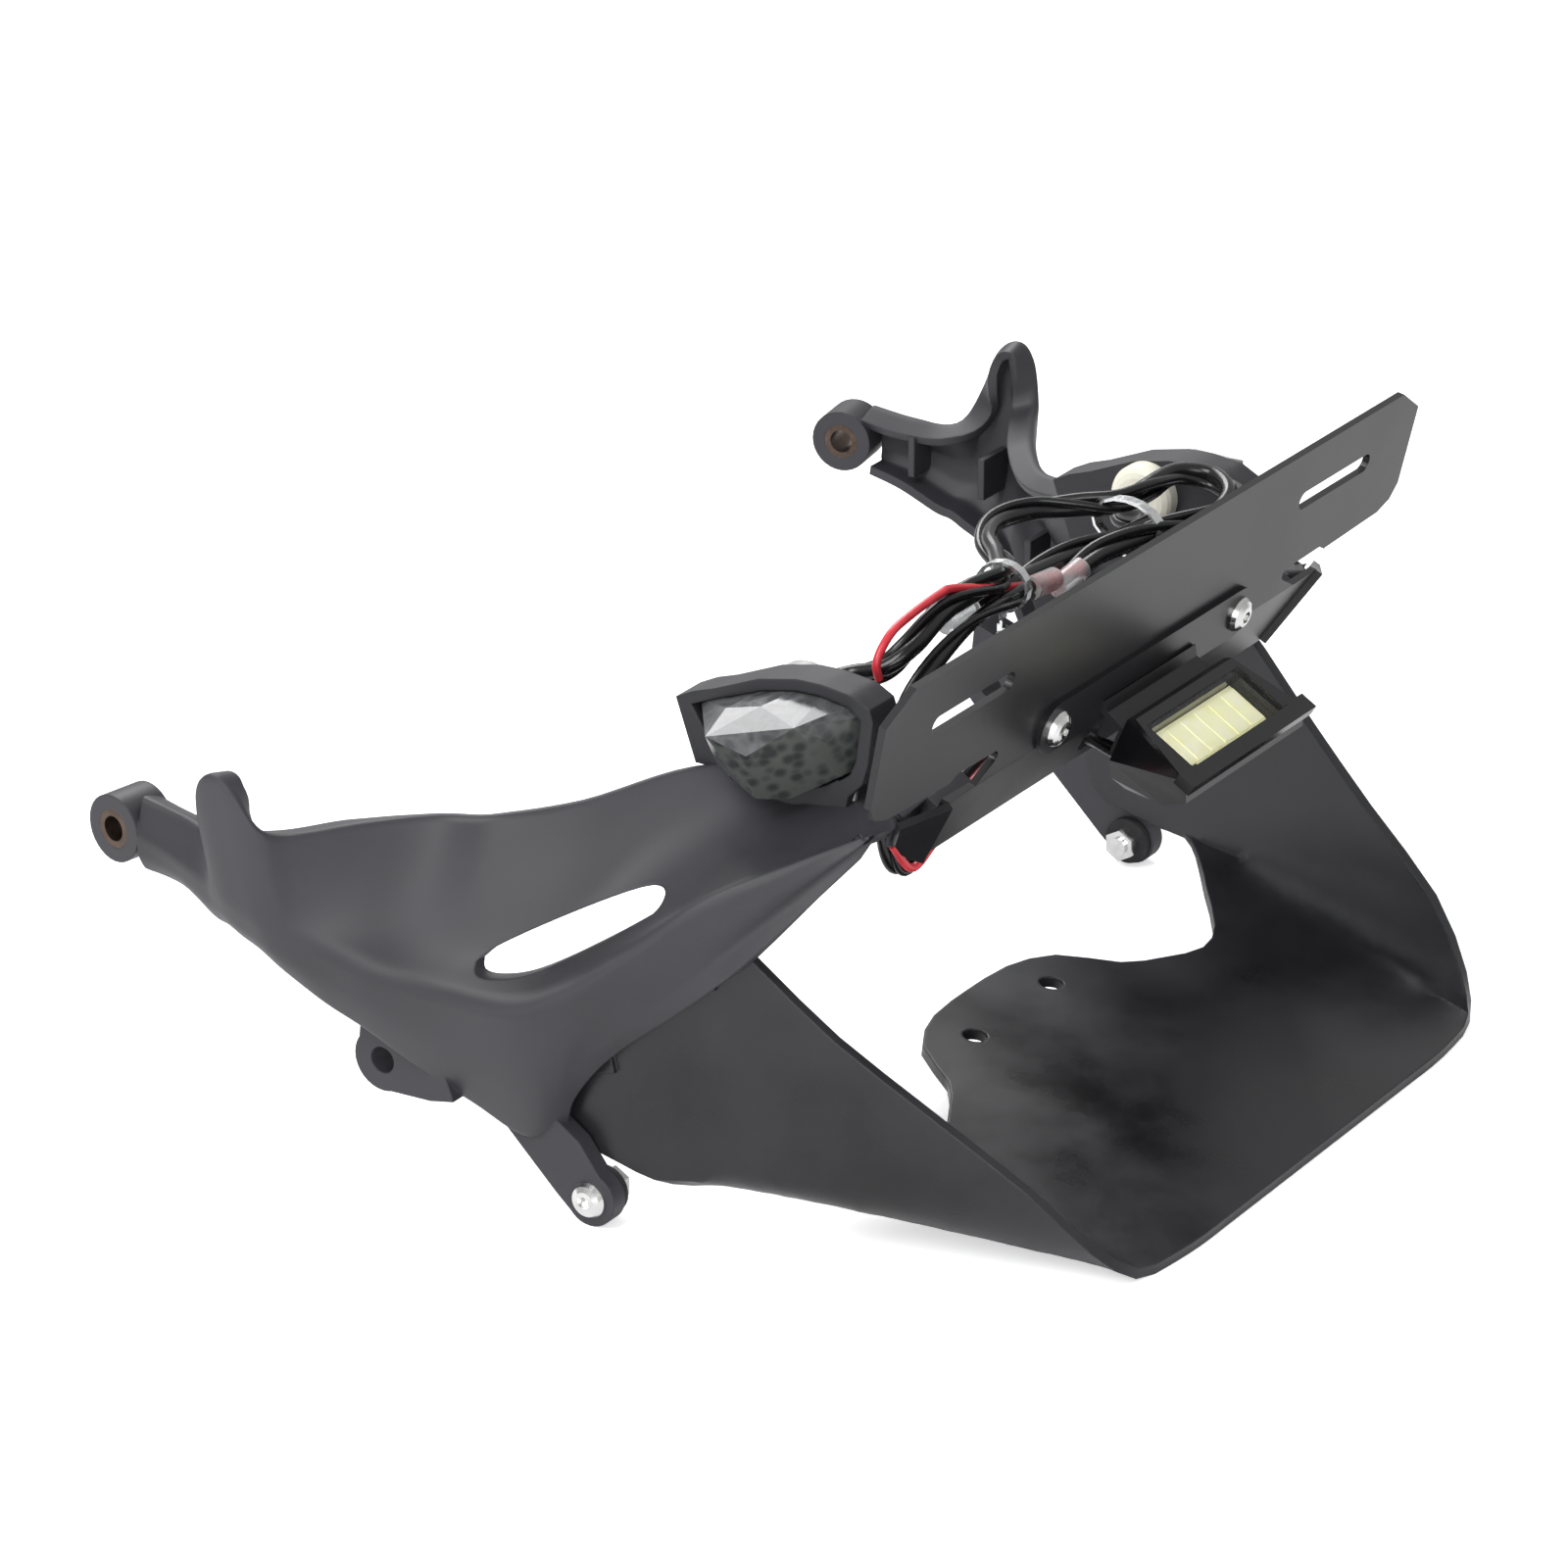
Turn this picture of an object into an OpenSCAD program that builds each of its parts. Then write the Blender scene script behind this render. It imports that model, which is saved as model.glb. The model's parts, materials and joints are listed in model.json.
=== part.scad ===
// Tail tidy for a motorbike: two moulded side arms, a U-shaped tray between them,
// a pressed plate bracket across the back, two flush indicators and a licence lamp.
// It is modelled in the pose in which it lies on a table, on its two lower lugs and
// the rear edge of the tray. +X is one side, +Y points at the front eyes, +Z is up.

/* [Plate bracket] */
// Distance between the middles of the two plate slots
slot_spacing = 178; // [172:1:184]
// Length of one plate slot over its round ends
slot_length = 37.5; // [30:0.5:44]
// Width of one plate slot
slot_width = 5.2; // [4.5:0.1:6.5]
// Thickness of the pressed sheet
plate_sheet = 2; // [1.6:0.1:3]
// Width of the plate bracket over its ends
plate_width = 262; // [254:1:268]
// Height of the bracket above the line of the slots
plate_rise = 15.5; // [13:0.5:20]
// Length of the folded lower band
band_length = 23.5; // [20:0.5:26]
// Diameter of the hole for a bracket screw
screw_hole = 5.4; // [5.2:0.1:6]
// Distance between the two lamp screws
lamp_screw_spacing = 90; // [80:1:100]

/* [Side arms] */
// Wall of the moulded arms
arm_wall = 2.6; // [2:0.1:3.2]
// Depth of the flange along the upper edge
flange_depth = 8; // [6:0.5:10]
// Thickness of the ribs inside an arm
rib_thickness = 2; // [1.5:0.1:3]
// Outer diameter of the front eye
eye_diameter = 17.6; // [16.4:0.2:19]
// Length of the front eye along its bore
eye_length = 12; // [10:0.5:14]
// Inner diameter of the metal collar in the eye
collar_bore = 6.6; // [6:0.1:8]
// Outer diameter of the metal collar in the eye
collar_diameter = 10; // [9.2:0.1:12]
// Outer diameter of the stay lug under the arm
stay_lug_diameter = 16.8; // [15:0.2:19]
// Bore of the stay lug
stay_lug_bore = 7; // [6:0.1:9]
// Thickness of the stay lug
stay_lug_width = 11; // [8:0.5:13]
// Diameter of the lower lug
foot_lug_diameter = 14.6; // [13:0.2:16]
// Thickness of the lower lug
foot_lug_width = 5; // [4:0.5:6]

/* [Tray] */
// Wall of the moulded tray
tray_wall = 3; // [2.4:0.1:3.4]
// Diameter of the two holes in the tray's tongue
tongue_hole = 6.5; // [5:0.1:8]
// Distance between the two holes in the tray's tongue
tongue_hole_spacing = 38; // [32:1:42]

/* [Indicators] */
// Wall of the indicator pod
pod_wall = 2.6; // [2:0.1:3.4]
// Depth of the indicator pod from its back wall to its rim
pod_depth = 11; // [9:0.5:14]
// Diameter of the pale cap on the back of an indicator
cap_diameter = 18; // [15:0.5:20]
// Thickness of that cap
cap_height = 6; // [5:0.5:8]
// Wall of the indicator lens
lens_wall = 1.6; // [1.2:0.1:2.4]
// Diameter of one indicator light chip
chip_diameter = 3; // [2.4:0.1:3.4]

/* [Licence lamp] */
// Width of the lamp at its back
lamp_back_width = 48; // [44:1:54]
// Width of the lamp at its front lip
lamp_front_width = 62; // [56:1:68]
// Wall of the lamp housing
lamp_wall = 2; // [1.6:0.1:2.6]
// Length of the row of light chips
strip_length = 40; // [32:1:42]
// Depth of the row of light chips
strip_depth = 11; // [8:0.5:12]
// Number of light chips in the row
strip_chips = 6; // [4:1:8]
// Thickness of the lamp's mounting sheet
lamp_sheet = 1.5; // [1.2:0.1:2]

/* [Fasteners] */
// Thread diameter of the button-head screws
screw_diameter = 5; // [4.6:0.1:5.1]
// Head diameter of the button-head screws
screw_head = 9.5; // [8.5:0.1:10.5]
// Head height of the button-head screws
screw_head_height = 2.8; // [2.2:0.1:3.4]
// Size of the hexagon socket in a screw head
screw_socket = 3; // [2.5:0.1:3.5]
// Width of a nut across its flats
nut_flats = 8; // [7:0.1:9]
// Height of a nut
nut_height = 4; // [3.4:0.1:5]

/* [Leads] */
// Diameter of an indicator lead
lead_diameter = 5; // [4.2:0.1:5.4]
// Diameter of a bare red wire
wire_diameter = 2.2; // [1.8:0.1:2.6]
// Diameter of a connector sleeve
sleeve_diameter = 6; // [5:0.1:7]

/* [Hidden] */

// Small helpers
eps = 0.01;
fine = 32;
gap = 0.3;

function unit(v) = v / norm(v);
function spline_point(a, b, c, d, t) =
    0.5 * (2 * b + (c - a) * t + (2 * a - 5 * b + 4 * c - d) * t * t + (3 * b - a - 3 * c + d) * t * t * t);
// A smooth curve through the given points, with n steps from each point to the next
function smooth(pts, n) = let (last = len(pts) - 1) [
    for (i = [0:last - 1], k = [0:n - 1])
        spline_point(pts[max(i - 1, 0)], pts[i], pts[i + 1], pts[min(i + 2, last)], k / n),
    pts[last]
];
// The outward normal of a grid of points at one of its points
function grid_normal(g, i, j) =
    let (i0 = max(i - 1, 0), i1 = min(i + 1, len(g) - 1), j0 = max(j - 1, 0), j1 = min(j + 1, len(g[0]) - 1))
    unit(cross(g[i1][j] - g[i0][j], g[i][j1] - g[i][j0]));

// The same grid one wall further in
function inset(g, wall) = [
    for (i = [0:len(g) - 1]) [for (j = [0:len(g[0]) - 1]) g[i][j] - wall * grid_normal(g, i, j)]
];

// A solid between an outer grid of points and the one under it, closed along its four edges
module grid_shell(g, under) {
    nu = len(g);
    nv = len(g[0]);
    points = [for (row = g) for (p = row) p, for (row = under) for (p = row) p];
    n = nu * nv;
    function at(i, j) = i * nv + j;
    quads = [
        for (i = [0:nu - 2], j = [0:nv - 2]) [at(i, j), at(i, j + 1), at(i + 1, j + 1), at(i + 1, j)],
        for (i = [0:nu - 2], j = [0:nv - 2])
            [n + at(i, j), n + at(i + 1, j), n + at(i + 1, j + 1), n + at(i, j + 1)],
        for (i = [0:nu - 2]) [at(i, 0), at(i + 1, 0), n + at(i + 1, 0), n + at(i, 0)],
        for (i = [0:nu - 2])
            [at(i + 1, nv - 1), at(i, nv - 1), n + at(i, nv - 1), n + at(i + 1, nv - 1)],
        for (j = [0:nv - 2]) [at(0, j + 1), at(0, j), n + at(0, j), n + at(0, j + 1)],
        for (j = [0:nv - 2])
            [at(nu - 1, j), at(nu - 1, j + 1), n + at(nu - 1, j + 1), n + at(nu - 1, j)]
    ];
    polyhedron(points, [for (q = quads) each [[q[0], q[1], q[2]], [q[0], q[2], q[3]]]]);
}

// A tube along a route, with flat ends square to it
module tube(route, d, sides = 8) {
    last = len(route) - 1;
    points = [
        for (i = [0:last])
            let (t = unit(route[min(i + 1, last)] - route[max(i - 1, 0)]),
                 a = unit(cross(t, abs(t.z) > 0.9 ? [1, 0, 0] : [0, 0, 1])),
                 b = cross(t, a))
            for (k = [0:sides - 1]) route[i] + d / 2 * (cos(k * 360 / sides) * a + sin(k * 360 / sides) * b)
    ];
    faces = [
        [for (k = [0:sides - 1]) k],
        [for (k = [0:sides - 1]) last * sides + sides - 1 - k],
        for (i = [0:last - 1], k = [0:sides - 1])
            let (m = (k + 1) % sides)
            each [[i * sides + m, i * sides + k, (i + 1) * sides + k],
                  [i * sides + m, (i + 1) * sides + k, (i + 1) * sides + m]]
    ];
    polyhedron(points, faces);
}

// What stands on one side is built for +X and mirrored for -X
module on_side(side) {
    if (side < 0) mirror([1, 0, 0]) children();
    else children();
}

// Half the width of the plate bracket at its fold, and of the band at its lower edge
fold_half = 91;
band_slant = 7;
band_half = fold_half - band_slant;

// Sections of an arm from the eye to its rear tip: upper edge, widest line, lower edge
// and the line where it meets the tray or ends inside. The upper edge rises into the finger,
// and the tip ends against the plate bracket's tab.
arm_sections = [
    [[168, 114, 102.5], [172, 113, 93], [170, 112, 83], [162, 112, 83]],
    [[169, 101, 101], [174, 101, 91], [169, 101, 81], [161, 101, 81]],
    [[173, 90, 100.5], [176, 90, 88], [171, 90, 76], [162, 90, 76]],
    [[181, 87, 108.5], [178, 85, 87], [171.5, 85, 75], [162, 85, 75]],
    [[185.5, 83.5, 119.5], [179, 81, 86], [171.5, 81, 73], [162, 81, 73]],
    [[187, 77.5, 123.5], [179, 76, 84], [171, 76, 70.5], [162, 76, 70.5]],
    [[186, 72, 120], [178.5, 71, 82], [170, 71, 66.5], [161, 71, 66.5]],
    [[181.5, 67.5, 110], [176.5, 67, 80], [168, 67, 62.5], [159, 67, 62.5]],
    [[173, 63.5, 106], [173, 61, 77], [165, 61, 57], [156, 61, 57]],
    [[156, 53.5, 105.5], [169, 50, 72.5], [160, 54, 50.5], [151, 54, 50.5]],
    [[142, 42, 105.5], [164, 40, 69], [153, 46, 41], [144, 46, 41]],
    [[139, 30.5, 108.8], [160, 28, 66.5], [144, 34, 29.5], [136, 34, 29.5]],
    [[121, 14, 110.5], [157, 13, 66], [136, 22, 20], [131, 17, 19.5]],
    [[99, -3, 113.5], [153, 2, 71], [138, 12, 35], [133, 10, 33]],
    [[84, -22, 113], [146, -12, 82], [138, 3, 48], [133, -1, 47]],
    [[84, -42, 113], [137, -28, 96], [134, -16, 65], [131, -23, 66]],
    [[fold_half, -56, 112.5], [fold_half + 32, -44, 104], [fold_half + 35, -37, 86], [fold_half + 36.5, -39.5, 82]],
    [[fold_half + 10, -63, 111], [fold_half + 15, -58.5, 110.5], [fold_half + 17, -57.5, 108],
     [fold_half + 15, -59.5, 107.5]]
];
// How far the panel between the upper edge and the widest line is scooped in, section by section
panel_scoop = [0, 0, 0, 0, 0, 0, 0, 0, 0.5, 1.5, 2.5, 3, 3.5, 3.5, 3, 2, 1, 0];
section_steps = 2;
corner_round = 3;

function rail(k) = smooth([for (s = arm_sections) s[k]], section_steps);
upper_rail = rail(0);
wide_rail = rail(1);
lower_rail = rail(2);
inner_rail = rail(3);
scoop_rail = smooth(panel_scoop, section_steps);
arm_last = len(upper_rail) - 1;

function along(r, i) = r[min(i + 1, arm_last)] - r[max(i - 1, 0)];
function near(a, b) = a + unit(b - a) * min(corner_round, norm(b - a) / 3);
// The points across the arm at one place along it
function arm_section(i) =
    let (t = upper_rail[i], c = wide_rail[i], b = lower_rail[i], p = inner_rail[i],
         n_up = unit(cross(along(upper_rail, i), c - t)),
         n_low = unit(cross(along(lower_rail, i), b - c)),
         top_in = t - n_up * flange_depth,
         panel = (t + c) / 2 - n_up * scoop_rail[i],
         skin = (c + b) / 2 + n_low)
    [top_in, near(t, top_in), near(t, panel), panel, near(c, panel), near(c, skin), skin, near(b, skin),
     near(b, p), p];
arm_grid = [for (i = [0:arm_last]) arm_section(i)];

// The window in the panel, as an outline seen from the side
window_points = [
    [21.6, 75.4], [19, 78], [12, 82], [4, 86.2], [-3, 89.2], [-7.5, 90.4], [-10.4, 90], [-11.7, 88.6],
    [-11.4, 87], [-10, 85.8], [-3, 80.8], [5.5, 75.6], [11.5, 73.2], [17.5, 73], [20.6, 73.7]
];

eye_centre = [164.5, 120.5, 92.5];
eye_toe = 10;
stay_lug_centre = [144, 56.4, 38];
foot_x = 132;
foot_centre = [5, foot_lug_diameter / 2];

module window_outline() {
    polygon(window_points);
}

// A shape drawn from the side, as (y, z), and standing between two distances from the middle
module side_extrude(x0, x1) {
    translate([x0, 0, 0]) rotate([90, 0, 90]) linear_extrude(x1 - x0) children();
}

module at_eye() {
    translate(eye_centre) rotate([0, 90, eye_toe]) children();
}

foot_web = [
    [foot_centre.x + foot_lug_diameter / 2 - 0.6, foot_centre.y + 2.5], [20, 17], [16, 22], [8, 22],
    [foot_centre.x - foot_lug_diameter / 2 + 0.1, foot_centre.y + 1]
];
stay_web = [
    [stay_lug_centre.y, stay_lug_centre.z - stay_lug_diameter / 2 + 0.3], [42, 30.5], [35, 32],
    [38, 40], [50, 52], [62, 56], [stay_lug_centre.y + 7, stay_lug_centre.z + 4]
];

module foot_lug() {
    side_extrude(foot_x - foot_lug_width / 2, foot_x + foot_lug_width / 2) {
        translate(foot_centre) circle(d = foot_lug_diameter, $fn = fine);
        polygon(foot_web);
    }
}

module stay_lug() {
    x0 = stay_lug_centre.x - stay_lug_width / 2;
    side_extrude(x0, x0 + stay_lug_width) {
        translate([stay_lug_centre.y, stay_lug_centre.z]) circle(d = stay_lug_diameter, $fn = fine);
        polygon(stay_web);
    }
}

// Where the tray's ears are screwed to the arm: (y, z) and the x of the ear's outer face
tray_ears = [[8, 48.5, 129], [-20, 77, 126.5]];
ear_thickness = 3;
boss_diameter = 9;
boss_length = 9.5;

module boss() {
    for (e = tray_ears)
        side_extrude(e[2], e[2] + boss_length) translate([e[0], e[1]]) circle(d = boss_diameter, $fn = fine);
}

// Ribs across the channel inside the arm: (y, z) of the middle, and the x of both ends
rib_height = 12;
rib_places = [[98, 91, 162, 171], [76, 88, 164, 177], [52, 74, 150, 164], [34, 72, 142, 156]];

module ribs() {
    for (r = rib_places)
        side_extrude(r[2], r[3]) translate([r[0], r[1]])
            square([rib_thickness, rib_height], center = true);
}

module arm() {
    difference() {
        union() {
            grid_shell(clear_of_tab(arm_grid), clear_of_tab(inset(arm_grid, arm_wall)));
            at_eye() cylinder(d = eye_diameter, h = eye_length, center = true, $fn = fine);
            stay_lug();
            foot_lug();
            boss();
            ribs();
            bracket_block();
            for (q = pod_screw_places) translate(q) cylinder(d = 7, h = 4.5, $fn = 24);
        }
        at_eye() cylinder(d = collar_diameter, h = 40, center = true, $fn = fine);
        side_extrude(60, 200) window_outline();
        side_extrude(100, 190)
            translate([stay_lug_centre.y, stay_lug_centre.z]) circle(d = stay_lug_bore, $fn = fine);
        side_extrude(110, 150) translate(foot_centre) circle(d = screw_hole, $fn = fine);
        for (e = tray_ears)
            side_extrude(e[2] - 1, e[2] + 7) translate([e[0], e[1]]) circle(d = tray_screw_diameter, $fn = 24);
        on_stud() translate([0, 0, -block_depth - 2]) cylinder(d = screw_hole, h = block_depth + 3, $fn = fine);
        for (q = pod_screw_places) translate([q.x, q.y, 90]) cylinder(d = 3, h = 24, $fn = 16);
    }
}

module left_arm() {
    color("#2b2c2f") on_side(-1) arm();
}

module right_arm() {
    color("#2b2c2f") arm();
}

module eye_collars() {
    color("#6d5a48") for (side = [-1, 1]) on_side(side) at_eye() difference() {
        cylinder(d = collar_diameter, h = eye_length, center = true, $fn = fine);
        cylinder(d = collar_bore, h = eye_length + 1, center = true, $fn = fine);
    }
}

// The tray, as pairs of points: its rear edge and its front edge, from the parting line down to the middle
tray_rows = [
    [[124.5, -33, 81], [129, 18, 33]],
    [[123.5, -39, 76], [129, 15, 22]],
    [[119, -57, 60], [129.2, 10, 19]],
    [[112, -79, 43.5], [129, 0, 16.5]],
    [[105, -103, 26], [128, -10, 14]],
    [[97, -117, 10], [123, -18, 12.5]],
    [[87, -123.5, 1], [113, -26, 11.5]],
    [[73, -126, 0], [97, -37, 12]],
    [[60, -127, 0], [79, -50, 11]],
    [[50, -127, 0], [66, -54, 10.5]],
    [[42, -127, 0], [54, -49, 11]],
    [[34, -127, 0], [43, -42, 12]],
    [[26, -127, 0], [33, -28, 14.5]],
    [[14, -127, 0], [18, -22, 15.5]],
    [[0, -127, 0], [0, -21, 15.5]]
];
tray_steps = 8;
tray_half = [
    for (k = [0, 1]) smooth([for (r = tray_rows) r[k]], 2)
];
tray_last = len(tray_half[0]) - 1;
function tray_rule(i) = [for (k = [0:tray_steps]) tray_half[0][i] + (tray_half[1][i] - tray_half[0][i]) * k / tray_steps];
function mirrored(row) = [for (p = row) [-p.x, p.y, p.z]];
tray_grid = [
    for (i = [0:tray_last]) tray_rule(i),
    for (i = [tray_last - 1:-1:0]) mirrored(tray_rule(i))
];
tongue_hole_y = -35.5;

tray_screw_diameter = 4;

module tray_ear(e) {
    side_extrude(e[2] - ear_thickness, e[2]) {
        translate([e[0], e[1]]) circle(d = boss_diameter + 1, $fn = fine);
        polygon([[e[0] - 5, e[1]], [e[0] + 3.5, e[1] + 3.5], [e[0] + 1, e[1] - 10], [e[0] - 7, e[1] - 8]]);
    }
}

module tray() {
    color("#2a2b2e") difference() {
        union() {
            grid_shell(tray_grid, inset(tray_grid, tray_wall));
            for (side = [-1, 1], e = tray_ears) on_side(side) tray_ear(e);
        }
        for (side = [-1, 1])
            translate([side * tongue_hole_spacing / 2, tongue_hole_y, -20])
                cylinder(d = tongue_hole, h = 60, $fn = fine);
        for (side = [-1, 1], e = tray_ears)
            on_side(side) side_extrude(e[2] - ear_thickness - 1, e[2] + 1)
                translate([e[0], e[1]]) circle(d = tray_screw_diameter + 0.4, $fn = 24);
    }
}

module tray_screws() {
    color("#9a9da0") for (side = [-1, 1], e = tray_ears)
        on_side(side) translate([e[2] - ear_thickness, e[0], e[1]]) rotate([0, -90, 0]) {
            cylinder(d = 6, h = 2.2, $fn = 32);
            translate([0, 0, -ear_thickness - 6]) cylinder(d = tray_screw_diameter, h = ear_thickness + 6.5, $fn = 24);
        }
}

// The plate bracket: places on it are x, height above the slots, and depth behind its outer face
plate_y = -76.6;
plate_z = 142.6;
plate_tilt = 12;
fold_height = -27;
fold_angle = 20;
lamp_screw_height = -22.8;

module on_plate() {
    translate([0, plate_y, plate_z]) rotate([90 + plate_tilt, 0, 0]) children();
}

// The half outline of the flat part, clockwise from the middle of its upper edge
half_plate = [
    [0, plate_rise], [plate_width / 2 - 11, plate_rise], [plate_width / 2, plate_rise - 7],
    [plate_width / 2 - 1, -14], [plate_width / 2 - 4, -18], [plate_width / 2 - 10, -20], [fold_half + 2, -21],
    [fold_half, fold_height], [0, fold_height]
];

module both_halves() {
    for (m = [0, 1]) mirror([m, 0, 0]) children();
}

module slot(length, width) {
    hull() for (s = [-1, 1]) translate([s * (length - width) / 2, 0]) circle(d = width, $fn = 32);
}

module bend_relief() {
    translate([fold_half - 6, fold_height + 3.5]) hull() {
        translate([-13, 2]) circle(1.6, $fn = 24);
        translate([4, 1.2]) circle(2.8, $fn = 24);
        translate([11, -1.5]) circle(1.6, $fn = 24);
        translate([-6, -2]) circle(1.6, $fn = 24);
    }
}

// One side tab, folded forward along the slanting end of the band to lie on the arm's tip
tab_low = [band_half, -58.6, 96.4];
tab_high = [fold_half, -71.2, 116.4];
tab_out = [fold_half + 13, -63, 113];
tab_outline = [[0, 0], [24.5, 0], [22, 14], [14, 13], [8, 9], [4, 5]];

tab_u = unit(tab_high - tab_low);
tab_n = unit(cross(tab_u, tab_out - tab_high));
tab_w = cross(tab_n, tab_u);

module on_tab() {
    multmatrix([
        [tab_u.x, tab_w.x, tab_n.x, tab_low.x], [tab_u.y, tab_w.y, tab_n.y, tab_low.y],
        [tab_u.z, tab_w.z, tab_n.z, tab_low.z], [0, 0, 0, 1]
    ]) children();
}

// The end of an arm's grid, kept just in front of the tab
tab_clearance = 0.15;
tab_reach = 22;
function before_tab(p) = p + max(0, tab_clearance - (p - tab_low) * tab_n) * tab_n;
function clear_of_tab(g) = [
    for (i = [0:len(g) - 1])
        [for (p = g[i]) i < len(g) - 4 || (p - tab_low) * tab_w > tab_reach ? p : before_tab(p)]
];

module side_tab() {
    on_tab() translate([0, 0, -plate_sheet]) linear_extrude(plate_sheet) polygon(tab_outline);
}

module on_band() {
    on_plate() translate([0, fold_height, -plate_sheet / 2]) rotate([fold_angle, 0, 0]) children();
}

// The block inside an arm's tip that lies against the front face of the band, and the stud through it
block_depth = 9;
block_step = 4;
stud_place = [band_half - 6, -11];
block_face = [
    [band_half - 13, -5], [band_half + 4, -5], [band_half - 1, -16], [band_half - 13, -16]
];
block_base = [
    [band_half - 13, -5], [band_half, -5], [band_half + 11, -9], [band_half + 9, -16], [band_half - 13, -16]
];

module bracket_block() {
    on_band() {
        translate([0, 0, -plate_sheet / 2 - block_step]) linear_extrude(block_step) polygon(block_face);
        translate([0, 0, -plate_sheet / 2 - block_depth])
            linear_extrude(block_depth - block_step + eps) polygon(block_base);
    }
}

module on_stud() {
    on_band() translate([stud_place.x, stud_place.y, -plate_sheet / 2]) children();
}

module bracket_studs() {
    color("#b9bcbe") for (side = [-1, 1]) on_side(side) on_stud()
        translate([0, 0, -block_depth - nut_height - 2])
            cylinder(d = screw_diameter, h = block_depth + nut_height + 2, $fn = fine);
}

module nut() {
    difference() {
        cylinder(d = nut_flats / cos(30), h = nut_height, $fn = 6);
        translate([0, 0, -1]) cylinder(d = screw_diameter, h = nut_height + 2, $fn = fine);
    }
}

module bracket_nuts() {
    color("#b9bcbe") for (side = [-1, 1]) on_side(side) on_stud()
        translate([0, 0, -block_depth - nut_height]) nut();
}

module plate_bracket() {
    color("#3a3b3e") difference() {
        union() {
            on_plate() translate([0, 0, -plate_sheet]) linear_extrude(plate_sheet)
                both_halves() polygon(half_plate);
            on_plate() translate([0, fold_height, -plate_sheet / 2]) {
                rotate([0, 90, 0]) cylinder(d = plate_sheet, h = 2 * fold_half, center = true, $fn = 24);
                rotate([fold_angle, 0, 0]) translate([0, 0, -plate_sheet / 2]) linear_extrude(plate_sheet)
                    both_halves() polygon([[0, 0], [fold_half, 0], [band_half, -band_length], [0, -band_length]]);
            }
            for (side = [-1, 1]) on_side(side) side_tab();
        }
        on_plate() translate([0, 0, -15]) linear_extrude(30) both_halves() {
            translate([slot_spacing / 2, 0]) slot(slot_length, slot_width);
            translate([lamp_screw_spacing / 2, lamp_screw_height]) circle(d = screw_hole, $fn = fine);
            bend_relief();
        }
        on_band() translate([grommet_x, -15.5, -5]) cylinder(d = 9, h = 10, $fn = fine);
    }
}

// A button-head screw: its head stands on z = 0 and its shank hangs below
module button_screw(shank) {
    difference() {
        rotate_extrude($fn = fine) polygon([
            [0, -shank], [screw_diameter / 2, -shank], [screw_diameter / 2, 0], [screw_head / 2, 0],
            [screw_head / 2, 0.7], [screw_head / 2 - 0.7, screw_head_height * 0.65],
            [screw_head / 2 - 2, screw_head_height * 0.92], [screw_head / 2 - 3, screw_head_height],
            [0, screw_head_height]
        ]);
        translate([0, 0, screw_head_height - 1.8]) cylinder(d = screw_socket / cos(30), h = 3, $fn = 6);
    }
}

// The lower lug's screw, with a spacer disc and a nut on the inner side
spacer_thickness = 2.5;
foot_outer = foot_x + foot_lug_width / 2;
foot_inner = foot_x - foot_lug_width / 2;

module at_foot(x) {
    translate([x, foot_centre.x, foot_centre.y]) rotate([0, 90, 0]) children();
}

module foot_screws() {
    color("#d5d7d8") for (side = [-1, 1]) on_side(side) at_foot(foot_outer)
        button_screw(foot_lug_width + spacer_thickness + nut_height + 1);
}

module foot_spacers() {
    color("#1c1c1e") for (side = [-1, 1]) on_side(side) at_foot(foot_inner - spacer_thickness) difference() {
        cylinder(d = 13, h = spacer_thickness, $fn = fine);
        translate([0, 0, -1]) cylinder(d = screw_hole, h = spacer_thickness + 2, $fn = fine);
    }
}

module foot_nuts() {
    color("#c3c5c7") for (side = [-1, 1]) on_side(side)
        at_foot(foot_inner - spacer_thickness - nut_height) nut();
}

// The indicator pod stands on the ledge along the arm's upper edge
pod_x = 84;
pod_points = [
    [5, 128], [0, 130.5], [-6, 132.5], [-19, 138], [-30, 140.4], [-37, 140.6], [-46, 139.6], [-51, 137],
    [-52, 134], [-50.5, 122], [-49, 117], [-45, 113], [-43, 103], [-3, 103], [-1, 111]
];
pod_middle = [-24, 126];
function toward(p, t) = p + unit(pod_middle - p) * t;
pod_hollow = [
    [0.5, 127], [-3, 128.5], [-8, 130.2], [-20, 135.2], [-30, 137.4], [-37, 137.6], [-45, 136.4], [-48.4, 133.6],
    [-47.2, 123], [-45.6, 119], [-42.5, 116.6], [-12, 116.6], [-5.5, 118]
];
lens_base = [for (p = pod_hollow) toward(p, gap)];
lens_tips = [
    [118, -19, 131], [115, -28.7, 127], [107, -26, 112.4], [97, -42, 124], [95, -43, 118],
    [109, -38.5, 134.5], [106, -17, 133.8], [104, -25.7, 135.5], [98, -8, 121], [102, -12, 116], [101, -32, 111.5]
];
lens_rim_x = 91;
// The lens as points: its base, the same outline at the rim, and the corners of its facets
function lens_points(base_x, inset) = [
    for (p = lens_base) [base_x, toward(p, inset).x, toward(p, inset).y],
    for (p = lens_base) [lens_rim_x, toward(p, inset).x, toward(p, inset).y],
    for (p = lens_tips)
        let (m = [lens_rim_x, pod_middle.x, pod_middle.y]) p + unit(m - p) * inset
];
lens_base_x = pod_x + pod_wall;

module point_hull(points) {
    hull() polyhedron(points, [[for (i = [0:len(points) - 1]) i]]);
}

// The ground under the pod: the arm's own panel, taken down to a thick block
module under_pod() {
    g = [for (i = [22:arm_last - 1]) [arm_grid[i][1] - [40, 0, 0], for (j = [1:4]) arm_grid[i][j]]];
    grid_shell(g, [for (row = g) [for (q = row) q - [0, 0, 40]]]);
}

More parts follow.
